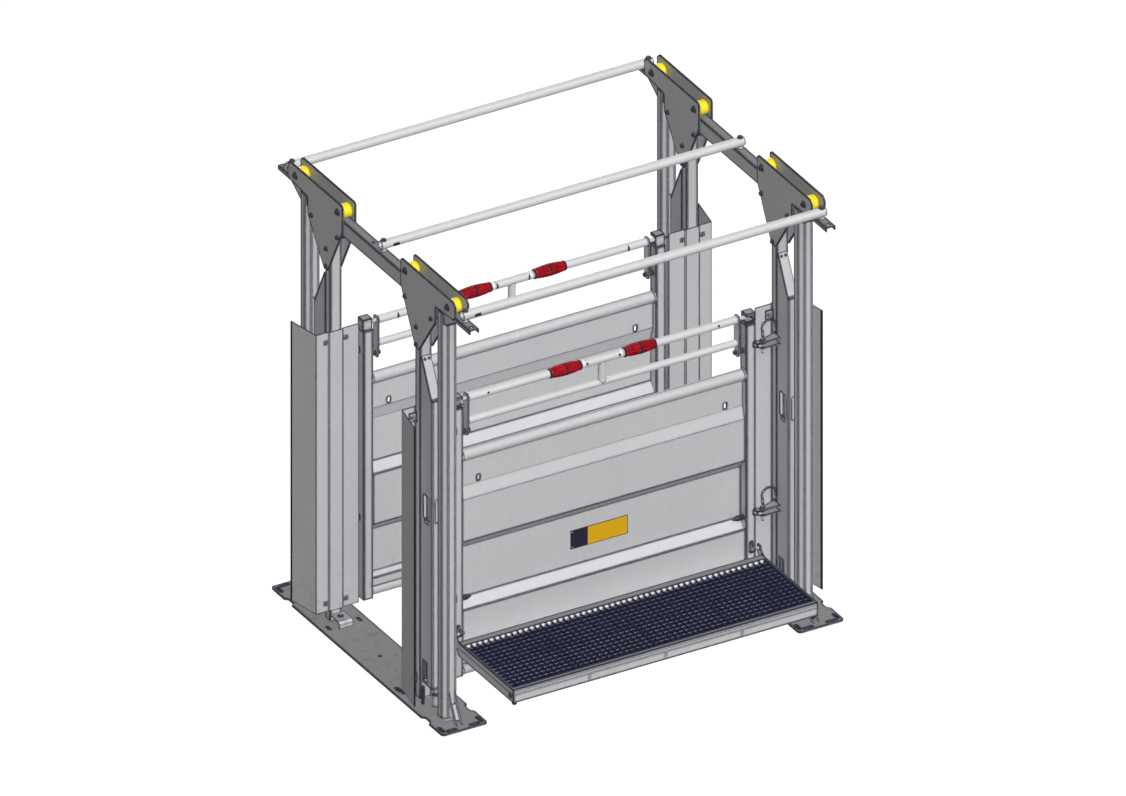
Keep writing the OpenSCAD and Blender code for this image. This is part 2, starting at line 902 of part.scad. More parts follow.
// Guard sheet: flat face stepped over the column, with a flared outer flange
module guard(side, face) {
    x_in = column_x - guard_in;
    x_out = column_x + guard_out;
    step_in = column_x - inner_col_w / 2 - 4;
    step_out = column_x + inner_col_w / 2 + 4;
    slope = guard_step;
    y_far = guard_y + guard_step;
    flare = flare_l * [sin(flare_angle), cos(flare_angle)];
    side_t = guard_t * [cos(flare_angle), -sin(flare_angle)];
    place(steel)
        corner(side, face)
            difference() {
                translate([0, 0, guard_low])
                    linear_extrude(guard_high - guard_low)
                        polygon([
                            [x_in, y_far],
                            [step_in - slope, y_far],
                            [step_in, guard_y],
                            [step_out, guard_y],
                            [step_out + slope, y_far],
                            [x_out, y_far],
                            [x_out + flare[0], y_far + flare[1]],
                            [x_out + flare[0] - side_t[0], y_far + flare[1] - side_t[1]],
                            [x_out - side_t[0] + 0.8, y_far + guard_t],
                            [step_out + slope - 1.6, y_far + guard_t],
                            [step_out - 1.6, guard_y + guard_t],
                            [step_in + 1.6, guard_y + guard_t],
                            [step_in - slope + 1.6, y_far + guard_t],
                            [x_in, y_far + guard_t]
                        ]);
                for (z = guard_lug_z, sx = [-1, 1])
                    translate([column_x + sx * guard_lug_reach, y_far - cut, z])
                        rotate([-90, 0, 0]) cylinder(d = guard_bolt_d + 1, h = guard_t + 2 * cut);
            }
}

// Guard bolts with square washers on the race side
module guard_bolts() {
    y_face = guard_y + guard_step;
    y_back = y_face + guard_t + 6;
    place(steel)
        corners()
            for (z = guard_lug_z, sx = [-1, 1])
                translate([column_x + sx * guard_lug_reach, 0, z]) {
                    translate([-14, y_face - 3, -14]) cube([28, 3, 28]);
                    translate([0, y_face - 15, 0])
                        rotate([-90, 0, 0]) cylinder(d = guard_bolt_d, h = guard_t + 40);
                    translate([0, y_face - 12, 0])
                        rotate([-90, 0, 0]) cylinder(d = 20, h = 9, $fn = 6);
                    translate([0, y_back, 0])
                        rotate([-90, 0, 0]) cylinder(d = 20, h = 9, $fn = 6);
                }
}

// Side panel frame: two posts, main rail, bottom rail, keepers and lugs
module panel_post() {
    difference() {
        translate([post_mid, inner_col_y, 0])
            hollow_post(post_w, post_d, post_wall, post_low, keeper_low);
        for (bolt = [[pivot_z, pivot_d], [post_bolt_z, post_bolt_d]])
            bar_x(post_in - cut, post_in + post_wall + cut, inner_col_y, bolt[0], bolt[1] + 0.4);
    }
    keeper();
    for (z = [lug_low_z, lug_high_z])
        post_lug(z);
    // Bracket for the walkway hinge pin
    difference() {
        extrude_x(post_mid - 4, post_mid + 8)
            polygon(rounded([
                [post_y_out, walk_hinge_z - 30, 0],
                [walk_hinge_y, walk_hinge_z - 22, 8],
                [walk_hinge_y + 18, walk_hinge_z, 10],
                [walk_hinge_y, walk_hinge_z + 22, 8],
                [post_y_out, walk_hinge_z + 30, 0]
            ]));
        bar_x(post_in, panel_x, walk_hinge_y, walk_hinge_z, walk_pin_d + 0.4);
    }
}

// Latch keeper: a box open towards the outboard side and the race
module keeper() {
    y0 = inner_col_y - latch_d / 2 - 12;
    y1 = post_y_out;
    mouth = latch_d + 8;
    difference() {
        translate([post_in, y0, keeper_low])
            cube([post_w, y1 - y0, keeper_h]);
        translate([post_in - cut, inner_col_y - mouth / 2, flap_rail_z - mouth / 2])
            cube([post_w - keeper_t + cut, y1 - inner_col_y + mouth / 2 + cut, mouth]);
        // Bevelled lower outboard edge
        extrude_x(post_in - cut, panel_x + cut)
            polygon([
                [y1 + cut, keeper_low - cut],
                [y1 + cut, keeper_low + 16],
                [y1 - 16, keeper_low - cut]
            ]);
    }
    translate([post_mid, inner_col_y, keeper_low - 3])
        translate([-post_w / 2, -post_d / 2, 0]) cube([post_w, post_d, 3]);
}

// Post lug that sits between two column lugs
module post_lug(z) {
    translate([0, 0, z - post_lug_t / 2])
        linear_extrude(post_lug_t)
            difference() {
                union() {
                    polygon([
                        [panel_x, post_y_out - 22],
                        [lock_x, lock_y - lug_r + 3],
                        [lock_x, lock_y + lug_r - 3],
                        [panel_x, lock_y + 6]
                    ]);
                    translate([lock_x, lock_y]) circle(r = lug_r - 3);
                    polygon([
                        [panel_x - 12, post_y_out],
                        [panel_x, post_y_out],
                        [panel_x, lock_y + 6],
                        [panel_x - 6, lock_y + 6]
                    ]);
                }
                translate([lock_x, lock_y]) circle(d = lock_d + 2 * lock_fit);
            }
}

module panel_frame(face) {
    place(steel)
        for (sx = [left, right])
            corner(sx, face) panel_post();
    place(steel)
        corner(right, face) {
            tube_x(-post_in, post_in, inner_col_y, main_rail_z, main_rail_d, rail_wall);
            tube_x(-post_in, post_in, inner_col_y + bottom_rail_out, bottom_rail_z, bottom_rail_d, rail_wall);
        }
}

// Corrugated side sheet, folded outwards at rib height and inwards between
module panel_sheet(face) {
    y_mid = inner_col_y;
    y_rib = inner_col_y + 22;
    y_web = inner_col_y - 27;
    run = [
        [y_mid, sheet_foot],
        [y_mid, sheet_low + 0.0415 * sheet_h],
        [y_rib, sheet_low + 0.0678 * sheet_h],
        [y_rib, sheet_low + 0.2737 * sheet_h],
        [y_web, sheet_low + 0.3187 * sheet_h],
        [y_web, sheet_low + 0.5628 * sheet_h],
        [y_rib - 2, sheet_low + 0.6085 * sheet_h],
        [y_rib - 2, sheet_low + 0.8136 * sheet_h],
        [y_mid, sheet_low + 0.8746 * sheet_h],
        [y_mid, sheet_top]
    ];
    back = [for (i = [len(run) - 1:-1:0]) run[i] - [sheet_t, 0]];
    place(steel)
        corner(right, face)
            difference() {
                extrude_x(-post_in, post_in) polygon(concat(run, back));
                for (sx = [-1, 1])
                    translate([sx * (post_in - 105), y_mid - 20, sheet_low + 0.8949 * sheet_h])
                        rotate([-90, 0, 0]) linear_extrude(40) slot_y(18, 34);
            }
}

// Flap: end plates, top rail, lower rail and a stub between the rails
module flap_end() {
    difference() {
        extrude_x(flap_end_in, flap_end_out)
            polygon(rounded([
                [inner_col_y - flap_end_r, flap_rail_z + flap_end_r, 20],
                [inner_col_y - flap_end_r, flap_low_z, 12],
                [inner_col_y - flap_end_r + 6, pivot_z - flap_end_r, 20],
                [inner_col_y + flap_end_r - 6, pivot_z - flap_end_r, 20],
                [inner_col_y + flap_end_r, flap_low_z, 12],
                [inner_col_y + flap_end_r, flap_rail_z + flap_end_r, 20]
            ]));
        bar_x(flap_end_in - cut, flap_end_out + cut, inner_col_y, pivot_z, pivot_d + 0.1);
        bar_x(flap_end_in - cut, flap_end_out + cut, inner_col_y, flap_rail_z, latch_d + 2 * latch_fit);
    }
}

module flap_rails() {
    bore = flap_rail_d - 2 * flap_wall;
    slot_half = latch_travel + link_d / 2 + 2;
    difference() {
        bar_x(-flap_end_in, flap_end_in, inner_col_y, flap_rail_z, flap_rail_d);
        bar_x(-flap_end_in - cut, flap_end_in + cut, inner_col_y, flap_rail_z, bore);
        // Slots for the links between rods and grips, and the marks beside them
        for (sx = [-1, 1]) {
            translate([sx * (grip_x - latch_travel / 2), inner_col_y, flap_rail_z])
                cube([latch_travel + link_d + 4, link_d + 1, flap_rail_d + 2], center = true);
            for (x = [93, 665])
                translate([
                    sx * x - 2.5,
                    inner_col_y - flap_rail_d / 2 - cut,
                    flap_rail_z - flap_rail_d / 2 - cut
                ])
                    cube([5, flap_rail_d / 2 + 9, flap_rail_d / 2 + 7]);
        }
    }
    tube_x(-flap_end_in, flap_end_in, inner_col_y, flap_low_z, flap_low_d, flap_wall);
    // Stub between the rails, saddled over both
    difference() {
        translate([0, inner_col_y, flap_low_z])
            cylinder(d = 40, h = flap_rail_z - flap_low_z);
        bar_x(-40, 40, inner_col_y, flap_rail_z, flap_rail_d);
        bar_x(-40, 40, inner_col_y, flap_low_z, flap_low_d);
    }
}

module flap(face) {
    place(steel)
        corner(right, face) {
            flap_rails();
            flap_end();
            mirror([1, 0, 0]) flap_end();
        }
}

// Flap pivots with their spacers, and the short bolts lower down each post
post_bolt_z = 509;
post_bolt_d = 20;
post_nut_d = 34;
post_nut_h = 16;
post_tip_l = 26;

module panel_bolts() {
    place(bolt_steel)
        corners() {
            bar_x(flap_end_in - 18, post_in + post_wall + 3, inner_col_y, pivot_z, pivot_d);
            translate([flap_end_in - 15, inner_col_y, pivot_z])
                rotate([0, 90, 0]) cylinder(d = 28, h = 14, $fn = 6);
            bar_x(flap_end_out + 0.3, post_in, inner_col_y, pivot_z, 26);
            // Post bolt with two nuts and a domed tip
            bar_x(post_in - 2 * post_nut_h - 4, post_in + post_wall + 3,
                inner_col_y, post_bolt_z, post_bolt_d);
            for (i = [1, 2])
                translate([post_in - i * (post_nut_h + 2), inner_col_y, post_bolt_z])
                    rotate([0, 90, 0]) cylinder(d = post_nut_d, h = post_nut_h, $fn = 6);
            translate([post_in - 2 * post_nut_h - 4 - post_tip_l, inner_col_y, post_bolt_z])
                rotate([0, 90, 0]) cylinder(d1 = post_bolt_d - 8, d2 = post_nut_d - 4, h = post_tip_l);
        }
}

// Latch rod inside the top rail, with the link that joins it to its grip
link_half = sqrt(pow(flap_rail_d / 2 + grip_fit, 2) - pow(link_d / 2, 2)) - 0.05;

module latch_rod(side, face) {
    place(steel)
        corner(side, face)
            union() {
                bar_x(latch_in, latch_out - 6, inner_col_y, flap_rail_z, latch_d);
                translate([latch_out - 6, inner_col_y, flap_rail_z])
                    rotate([0, 90, 0])
                        cylinder(d1 = latch_d, d2 = latch_d - 8, h = 6);
                translate([grip_x, inner_col_y, flap_rail_z])
                    cylinder(d = link_d, h = 2 * link_half, center = true);
            }
}

// Barrel grip that slides on the top rail
module grip_shape() {
    half = grip_l / 2;
    bore = flap_rail_d / 2 + grip_fit;
    r_end = grip_d / 2 - 9;
    translate([grip_x, inner_col_y, flap_rail_z])
        rotate([0, 90, 0])
            difference() {
                rotate_extrude()
                    polygon(concat(
                        [[bore, -half], [r_end, -half], [r_end, -half + 12]],
                        [for (i = [0:8])
                            let (t = -1 + i / 4)
                            [r_end + (grip_d / 2 - r_end) * cos(t * 78), t * (half - 20)]],
                        [[r_end, half - 12], [r_end, half], [bore, half]]
                    ));
                for (a = [0:45:315])
                    rotate(a)
                        translate([grip_d / 2 + 1, 0, 0])
                            cube([5, 5, grip_l - 70], center = true);
            }
}

module grip(side, face) {
    place(grip_red) corner(side, face) grip_shape();
}

// Lock pin with collar head, cross-drilled top and pull ring
module lock_pin_shape(z) {
    lug_top = z + post_lug_t / 2 + lock_gap + lug_t;
    lug_bottom = z - post_lug_t / 2 - lock_gap - lug_t;
    shank_low = lug_bottom - lock_below + 4;
    neck = 24;
    translate([lock_x, lock_y, 0]) {
        difference() {
            union() {
                translate([0, 0, shank_low])
                    cylinder(d = lock_d, h = lug_top + 0.3 + lock_head_h + neck - shank_low);
                translate([0, 0, shank_low - 4])
                    cylinder(d1 = lock_d - 6, d2 = lock_d, h = 4, $fn = 48);
                translate([0, 0, lug_top + 0.3])
                    cylinder(d = lock_d + 14, h = lock_head_h);
            }
            translate([0, 0, lug_top + lock_head_h + neck - 9])
                rotate([90, 0, 0]) cylinder(d = ring_wire + 3, h = lock_d + 2, center = true);
        }
        translate([0, 0, lug_top + lock_head_h + neck - 9 + ring_d / 2])
            rotate([0, 90, 0])
                rotate_extrude()
                    translate([ring_d / 2, 0]) circle(d = ring_wire, $fn = 24);
    }
}

module lock_pin(side, face, z) {
    place(steel) corner(side, face) lock_pin_shape(z);
}

// Walkway: channel frame with hinge ears, carrying the grating
lip_drop = 14;
lip_groove = 1.5;
lip_groove_h = 6;

module walkway_frame() {
    open_x = 2 * (grate_half - grate_ledge);
    open_y = grate_front - grate_back - 2 * grate_ledge;
    place(steel)
        corner(right, front) {
            difference() {
                translate([-walk_x, walk_back, walk_low])
                    cube([2 * walk_x, walk_d, walk_h]);
                // Open underside, leaving the folded return lips
                translate([-walk_x + walk_t, walk_back + walk_t, walk_low - cut])
                    cube([2 * (walk_x - walk_t), walk_d - 2 * walk_t, walk_h - grate_h - 4]);
                // Groove under the folded lip of the front rim
                translate([-walk_x - cut, walk_back + walk_d - lip_groove, walk_top - lip_drop])
                    cube([2 * (walk_x + cut), lip_groove + cut, lip_groove_h]);
                // Grating well
                translate([-grate_half, grate_back, walk_low])
                    cube([2 * grate_half, grate_front - grate_back, walk_h + cut]);
                translate([-grate_half + grate_ledge, grate_back + grate_ledge, walk_low - cut])
                    cube([open_x, open_y, walk_h]);
            }
            // Ledge that the grating rests on
            difference() {
                translate([-grate_half, grate_back, walk_top - grate_h - 4])
                    cube([2 * grate_half, grate_front - grate_back, 4]);
                translate([-grate_half + grate_ledge, grate_back + grate_ledge, walk_top - grate_h - 5])
                    cube([open_x, open_y, 6]);
            }
            // Cross members under the grating
            for (x = [-walk_x / 2, 0, walk_x / 2])
                translate([x - 3, walk_back + walk_t, walk_low + 14])
                    cube([6, walk_d - 2 * walk_t, walk_h - grate_h - 18]);
            for (sx = [left, right])
                corner(sx, rear) walkway_ear();
        }
}

// Curved ear that hooks the walkway to its hinge pin
module walkway_ear() {
    difference() {
        extrude_x(walk_ear_x, walk_x)
            polygon(rounded([
                [walk_back + 40, walk_low + 30, 0],
                [walk_back + 40, walk_top - 12, 30],
                [walk_hinge_y + 22, walk_top + 24, 20],
                [walk_hinge_y + 8, walk_hinge_z + 26, 12],
                [walk_hinge_y - 18, walk_hinge_z + 18, 12],
                [walk_hinge_y - 18, walk_hinge_z - 20, 12],
                [walk_back, walk_low + 10, 12]
            ]));
        bar_x(walk_ear_x - cut, walk_x + cut, walk_hinge_y, walk_hinge_z, walk_pin_d + 2 * hinge_fit);
    }
}

// Pressed grating: bearing bars across the walkway, cross bars along it
module walkway_grating() {
    x1 = grate_half - grate_fit;
    y0 = grate_back + grate_fit;
    y1 = grate_front - grate_fit;
    columns = floor((2 * x1 - grate_bar) / grate_pitch);
    rows = floor((y1 - y0 - grate_bar) / (2 * grate_pitch));
    cell_x = (2 * x1 - grate_bar) / columns;
    cell_y = (y1 - y0 - grate_bar) / rows;
    place(grate_dark)
        corner(right, front)
            translate([0, 0, walk_top - grate_h])
                linear_extrude(grate_h - 1)
                    difference() {
                        translate([-x1, y0]) square([2 * x1, y1 - y0]);
                        for (i = [0:columns - 1], j = [0:rows - 1])
                            translate([-x1 + grate_bar + i * cell_x, y0 + grate_bar + j * cell_y])
                                square([cell_x - grate_bar, cell_y - grate_bar]);
                    }
}

module walkway_hinge_pins() {
    place(steel)
        for (sx = [left, right])
            corner(sx, front) {
                bar_x(post_mid - 12, walk_x + 12, walk_hinge_y, walk_hinge_z, walk_pin_d);
                bar_x(post_mid - 20, post_mid - 12, walk_hinge_y, walk_hinge_z, walk_pin_d + 5);
                bar_x(walk_x + 0.4, walk_x + 10, walk_hinge_y, walk_hinge_z, walk_pin_d + 5);
            }
}

base_plate(left);  // base_plate_left
base_plate(right);  // base_plate_right
inner_columns();
outer_columns();
column_struts();
foot_brackets();
channel(left, front);  // stanchion_channel_front_left
channel(right, front);  // stanchion_channel_front_right
channel(left, rear);  // stanchion_channel_rear_left
channel(right, rear);  // stanchion_channel_rear_right
channel_ramps();
channel_drop_pins();
head_plates(left);  // head_plates_left
head_plates(right);  // head_plates_right
head_bolts();
roller_axles();
roller(left, front, roller_in_y);  // roller_front_left_inner
roller(left, front, roller_out_y);  // roller_front_left_outer
roller(right, front, roller_in_y);  // roller_front_right_inner
roller(right, front, roller_out_y);  // roller_front_right_outer
roller(left, rear, roller_in_y);  // roller_rear_left_inner
roller(left, rear, roller_out_y);  // roller_rear_left_outer
roller(right, rear, roller_in_y);  // roller_rear_right_inner
roller(right, rear, roller_out_y);  // roller_rear_right_outer
cross_beam(left);  // cross_beam_left
cross_beam(right);  // cross_beam_right
roof_rail(-roof_rail_y);  // roof_rail_front
roof_rail(-roof_mid_y);  // roof_rail_middle
roof_rail(roof_rail_y);  // roof_rail_rear
guard(left, front);  // guard_front_left
guard(right, front);  // guard_front_right
guard(left, rear);  // guard_rear_left
guard(right, rear);  // guard_rear_right
guard_bolts();
panel_frame(front);  // panel_frame_front
panel_frame(rear);  // panel_frame_rear
panel_sheet(front);  // panel_sheet_front
panel_sheet(rear);  // panel_sheet_rear
flap(front);  // flap_front
flap(rear);  // flap_rear
panel_bolts();
latch_rod(left, front);  // latch_rod_front_left
latch_rod(right, front);  // latch_rod_front_right
latch_rod(left, rear);  // latch_rod_rear_left
latch_rod(right, rear);  // latch_rod_rear_right
grip(left, front);  // grip_front_left
grip(right, front);  // grip_front_right
grip(left, rear);  // grip_rear_left
grip(right, rear);  // grip_rear_right
lock_pin(left, front, lug_high_z);  // lock_pin_front_left_upper
lock_pin(left, front, lug_low_z);  // lock_pin_front_left_lower
lock_pin(right, front, lug_high_z);  // lock_pin_front_right_upper
lock_pin(right, front, lug_low_z);  // lock_pin_front_right_lower
lock_pin(left, rear, lug_high_z);  // lock_pin_rear_left_upper
lock_pin(left, rear, lug_low_z);  // lock_pin_rear_left_lower
lock_pin(right, rear, lug_high_z);  // lock_pin_rear_right_upper
lock_pin(right, rear, lug_low_z);  // lock_pin_rear_right_lower
walkway_frame();
walkway_grating();
walkway_hinge_pins();
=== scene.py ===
import json
import math

import bmesh
import bpy
from mathutils import Matrix, Vector, noise


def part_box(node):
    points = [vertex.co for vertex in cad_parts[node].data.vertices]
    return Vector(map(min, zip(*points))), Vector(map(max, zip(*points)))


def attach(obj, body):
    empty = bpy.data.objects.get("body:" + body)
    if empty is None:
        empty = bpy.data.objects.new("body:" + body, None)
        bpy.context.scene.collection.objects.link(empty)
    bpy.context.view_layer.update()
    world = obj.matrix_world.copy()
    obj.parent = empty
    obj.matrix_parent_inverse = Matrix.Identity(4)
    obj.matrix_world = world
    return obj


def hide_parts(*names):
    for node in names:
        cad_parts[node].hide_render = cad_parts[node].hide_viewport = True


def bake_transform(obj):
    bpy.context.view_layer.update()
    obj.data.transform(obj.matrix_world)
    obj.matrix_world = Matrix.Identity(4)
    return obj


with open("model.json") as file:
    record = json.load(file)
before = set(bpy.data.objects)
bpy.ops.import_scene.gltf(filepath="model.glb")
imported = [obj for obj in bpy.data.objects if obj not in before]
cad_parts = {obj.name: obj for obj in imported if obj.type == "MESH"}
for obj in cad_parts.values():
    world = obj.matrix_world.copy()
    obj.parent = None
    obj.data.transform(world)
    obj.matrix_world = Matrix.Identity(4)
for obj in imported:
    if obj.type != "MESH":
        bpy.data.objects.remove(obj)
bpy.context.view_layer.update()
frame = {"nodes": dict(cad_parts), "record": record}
nodes = frame["nodes"]
scene = bpy.context.scene

# everything below is in metres, in the frame's own axes: X along the race, Y across it
sides = {"left": -1, "right": 1}
faces = {"front": -1, "rear": 1}
raceSizes = {
    "middle": 0.065,  # Y of the race's middle line
    "panel": 0.450,  # from the middle line out to the panel posts and the flap rails
    "columns": 1.029,  # X of the column rows, to both sides
    "topRail": 1.658,  # heights of the flaps' two rails
    "lowRail": 1.525,
    "roofRail": 2.390,  # underside of the roof rails
    "roofRailsAt": (-0.866, -0.050, 0.866),  # from the middle line to each roof rail
}
acrossMiddle = raceSizes["middle"]

viewSetup = {
    "azimuth": -30.0,
    "elevation": 30.0,
    "aim": (0.0364, 0.065, 1.1946),
    "width": 5.63,
    "distance": 14.0,
}
lampSetup = {  # wash and back are even light that leaves no shadow
    "wash": {"direction": (-0.10, -0.72, 0.69), "strength": 2.75, "angle": 30.0, "shadow": False},
    "key": {"direction": (-0.06, -0.72, 0.69), "strength": 0.45, "angle": 20.0, "shadow": True},
    "back": {"direction": (0.42, 0.87, 0.10), "strength": 0.95, "angle": 30.0, "shadow": False},
    "ambient": 0.17,
    "floor": 0.20,
    "floorGlow": 0.95,
    "floorLevel": 1.10,
}


# camera and lamps
def placeCamera(setup):
    turn, lift = math.radians(setup["azimuth"]), math.radians(setup["elevation"])
    back = Vector((math.sin(turn) * math.cos(lift), -math.cos(turn) * math.cos(lift), math.sin(lift)))
    data = bpy.data.cameras.new("yardCamera")
    data.type = "ORTHO"
    data.ortho_scale = setup["width"]
    data.clip_start, data.clip_end = 0.1, 80.0
    camera = bpy.data.objects.new("yardCamera", data)
    camera.location = Vector(setup["aim"]) + back * setup["distance"]
    camera.rotation_mode = "QUATERNION"
    camera.rotation_quaternion = (-back).to_track_quat("-Z", "Y")
    scene.collection.objects.link(camera)
    scene.camera = camera


def addSun(name, setup):
    data = bpy.data.lights.new(name, "SUN")
    data.energy = setup["strength"]
    data.angle = math.radians(setup["angle"])
    data.use_shadow = setup["shadow"]
    lamp = bpy.data.objects.new(name, data)
    lamp.rotation_mode = "QUATERNION"
    lamp.rotation_quaternion = Vector(setup["direction"]).to_track_quat("Z", "Y")
    scene.collection.objects.link(lamp)


# shader helpers
class Wire:  # a socket that is reckoned with like a number
    def __init__(self, graph, socket):
        self.graph, self.socket = graph, socket

    def __add__(self, other):
        return self.graph.maths("ADD", self, other)

    def __radd__(self, other):
        return self.graph.maths("ADD", other, self)

    def __sub__(self, other):
        return self.graph.maths("SUBTRACT", self, other)

    def __rsub__(self, other):
        return self.graph.maths("SUBTRACT", other, self)

    def __mul__(self, other):
        return self.graph.maths("MULTIPLY", self, other)

    def __rmul__(self, other):
        return self.graph.maths("MULTIPLY", other, self)

    def clamp(self):
        return self.graph.node("Clamp", {}, {"Value": self})

    def rise(self, low, high):  # 0 below low, 1 above high, smooth between
        return self.graph.node(
            "MapRange",
            {"interpolation_type": "SMOOTHSTEP"},
            {"Value": self, "From Min": low, "From Max": high},
        )


class Finish:  # the nodes of one material, or of the world
    def __init__(self, owner):
        self.owner = owner
        owner.use_nodes = True
        self.tree = owner.node_tree
        self.tree.nodes.clear()

    def node(self, kind, settings, inputs, output=0):
        made = self.tree.nodes.new("ShaderNode" + kind)
        for key, value in settings.items():
            setattr(made, key, value)
        for key, value in inputs.items():
            socket = made.inputs[key]
            if isinstance(value, Wire):
                self.tree.links.new(value.socket, socket)
            elif socket.type == "RGBA":
                socket.default_value = (*value, 1.0)
            else:
                socket.default_value = value
        return Wire(self, made.outputs[output]) if made.outputs else made

    def maths(self, how, *values):
        return self.node("Math", {"operation": how}, dict(enumerate(values)))

    def mix(self, amount, first, second):  # colours
        return self.node(
            "Mix",
            {"data_type": "RGBA", "clamp_factor": True},
            {0: amount, 6: first, 7: second},
            2,
        )

    def dim(self, colour, amount):  # a colour made darker or brighter by a value
        return self.node("VectorMath", {"operation": "SCALE"}, {0: colour, "Scale": amount})

    def place(self):
        return self.node("TexCoord", {}, {}, "Object")

    def axis(self, place, which):
        return self.node("SeparateXYZ", {}, {"Vector": place}, which)

    def stretch(self, place, scale):
        return self.node("Mapping", {}, {"Vector": place, "Scale": scale})

    def clouds(self, place, scale, detail=3.0, rough=0.55):
        return self.node(
            "TexNoise", {}, {"Vector": place, "Scale": scale, "Detail": detail, "Roughness": rough}
        )

    def flakes(self, place, scale, output="Color"):
        return self.node("TexVoronoi", {}, {"Vector": place, "Scale": scale}, output)

    def edges(self, radius, low=0.003, high=0.008, samples=12):  # 1 along folds, cuts and seams
        soft = self.node("Bevel", {"samples": samples}, {"Radius": radius})
        flat = self.node("NewGeometry", {}, {}, "Normal")
        agree = self.node("VectorMath", {"operation": "DOT_PRODUCT"}, {0: soft, 1: flat}, "Value")
        return (1.0 - agree).rise(low, high)

    def bump(self, height, strength, distance):
        return self.node("Bump", {}, {"Height": height, "Strength": strength, "Distance": distance})

    def finish(self, inputs):
        shader = self.node("BsdfPrincipled", {}, inputs)
        self.node("OutputMaterial", {}, {"Surface": shader})
        return self.owner


def newFinish(name):
    return Finish(bpy.data.materials.new(name))


# finishes
galvanisedLook = {
    # the last value of each look is how much painted shade the level faces get
    "tube": {
        "colour": (0.54, 0.545, 0.555), "spangle": 0.050, "cloud": 0.07,
        "metal": 0.12, "rough": 0.46, "edge": 0.0165, "dust": 0.54,
    },
    # brighter than the tube: painted highlight on the round rails
    "rail": {
        "colour": (0.60, 0.605, 0.61), "spangle": 0.040, "cloud": 0.05,
        "metal": 0.12, "rough": 0.44, "edge": 0.0100, "dust": 0.0,
    },
    "column": {
        "colour": (0.56, 0.565, 0.575), "spangle": 0.050, "cloud": 0.07,
        "metal": 0.12, "rough": 0.46, "edge": 0.0175, "dust": 0.68,
    },
    "bolt": {
        "colour": (0.58, 0.585, 0.60), "spangle": 0.020, "cloud": 0.05,
        "metal": 0.15, "rough": 0.45, "edge": 0.0056, "dust": 0.0,
    },
    "small": {
        "colour": (0.54, 0.545, 0.555), "spangle": 0.030, "cloud": 0.07,
        "metal": 0.15, "rough": 0.48, "edge": 0.0085, "dust": 0.50,
    },
    "plate": {
        "colour": (0.50, 0.505, 0.505), "spangle": 0.040, "cloud": 0.09,
        "metal": 0.12, "rough": 0.52, "edge": 0.0165, "dust": 0.60,
    },
    # bright steel: on the grating's rear triangles it is painted light, on the rail sleeves it is the
    # polished runs
    "clip": {
        "colour": (0.78, 0.78, 0.80), "spangle": 0.030, "cloud": 0.05,
        "metal": 0.10, "rough": 0.45, "edge": 0.0012, "dust": 0.0,
    },
    "flakes": (48.0, 125.0),
    "edgeColour": (0.020, 0.020, 0.046),
    "edgeAmount": 0.96,
    "dirtColour": (0.20, 0.175, 0.14),
    "dirtAmount": 0.34,
    "dirtHeight": (0.02, 0.42),
    # painted shade on level faces, near black
    "dustColour": (0.030, 0.030, 0.028),
}


def galvanised(name, look):
    coat, shared = newFinish(name), galvanisedLook
    place = coat.place()
    big, fine = (coat.flakes(place, scale) for scale in shared["flakes"])
    flake = coat.axis(big, "X") * 0.6 + coat.axis(fine, "Y") * 0.4
    cloud = coat.clouds(place, 2.3, 4.0)
    runs = coat.clouds(coat.stretch(place, (26.0, 26.0, 1.4)), 1.0, 2.0)
    scuff = coat.clouds(coat.stretch(place, (5.0, 60.0, 60.0)), 1.0, 3.0).rise(0.62, 0.74)
    tone = 1.0 + (flake - 0.5) * look["spangle"] + (cloud - 0.5) * look["cloud"] + (runs - 0.5) * 0.05
    colour = coat.dim(look["colour"], tone)
    low = 1.0 - coat.axis(place, "Z").rise(*shared["dirtHeight"])
    dirt = (low * coat.clouds(place, 17.0, 5.0, 0.65).rise(0.50, 0.72) * shared["dirtAmount"]).clamp()
    colour = coat.mix(dirt, colour, shared["dirtColour"])
    level = coat.axis(coat.node("NewGeometry", {}, {}, "Normal"), "Z").rise(0.985, 0.999)
    colour = coat.mix(level * look["dust"], colour, shared["dustColour"])  # painted shade: level faces are darkened towards near black
    edge = coat.edges(look["edge"]) * shared["edgeAmount"]
    colour = coat.mix(edge, colour, shared["edgeColour"])
    rough = look["rough"] + flake * 0.12 + cloud * 0.12 + dirt * 0.3 - scuff * 0.10
    height = coat.clouds(place, 420.0, 2.0) * 0.4 + flake * 0.3
    return coat.finish({
        "Base Color": colour,
        "Metallic": look["metal"],
        "Roughness": rough,
        "Specular IOR Level": 0.06,
        "Normal": coat.bump(height, 0.10, 0.0006),
    })


fastenerLook = {
    "colour": (0.026, 0.026, 0.042),
    "stain": (0.055, 0.055, 0.075),
    "worn": (0.30, 0.30, 0.32),
    "metal": 0.15,
}


def darkZinc(name):
    coat = newFinish(name)
    place = coat.place()
    stain = coat.clouds(place, 60.0, 3.0)
    colour = coat.mix(stain, fastenerLook["colour"], fastenerLook["stain"])
    rub = coat.edges(0.0016, 0.02, 0.06, 4) * coat.clouds(place, 90.0, 2.0).rise(0.35, 0.6) * 0.55
    colour = coat.mix(rub, colour, fastenerLook["worn"])
    return coat.finish({
        "Base Color": colour,
        "Metallic": fastenerLook["metal"],
        "Roughness": 0.34 + stain * 0.22,
        "Specular IOR Level": 0.15,
        "Normal": coat.bump(coat.clouds(place, 600.0, 2.0), 0.12, 0.0004),
    })


rollerLook = {
    "colour": (0.93, 0.77, 0.02),
    "shade": (0.70, 0.50, 0.02),
    "rim": (0.09, 0.07, 0.02),
    "toolMarks": 210.0,
}


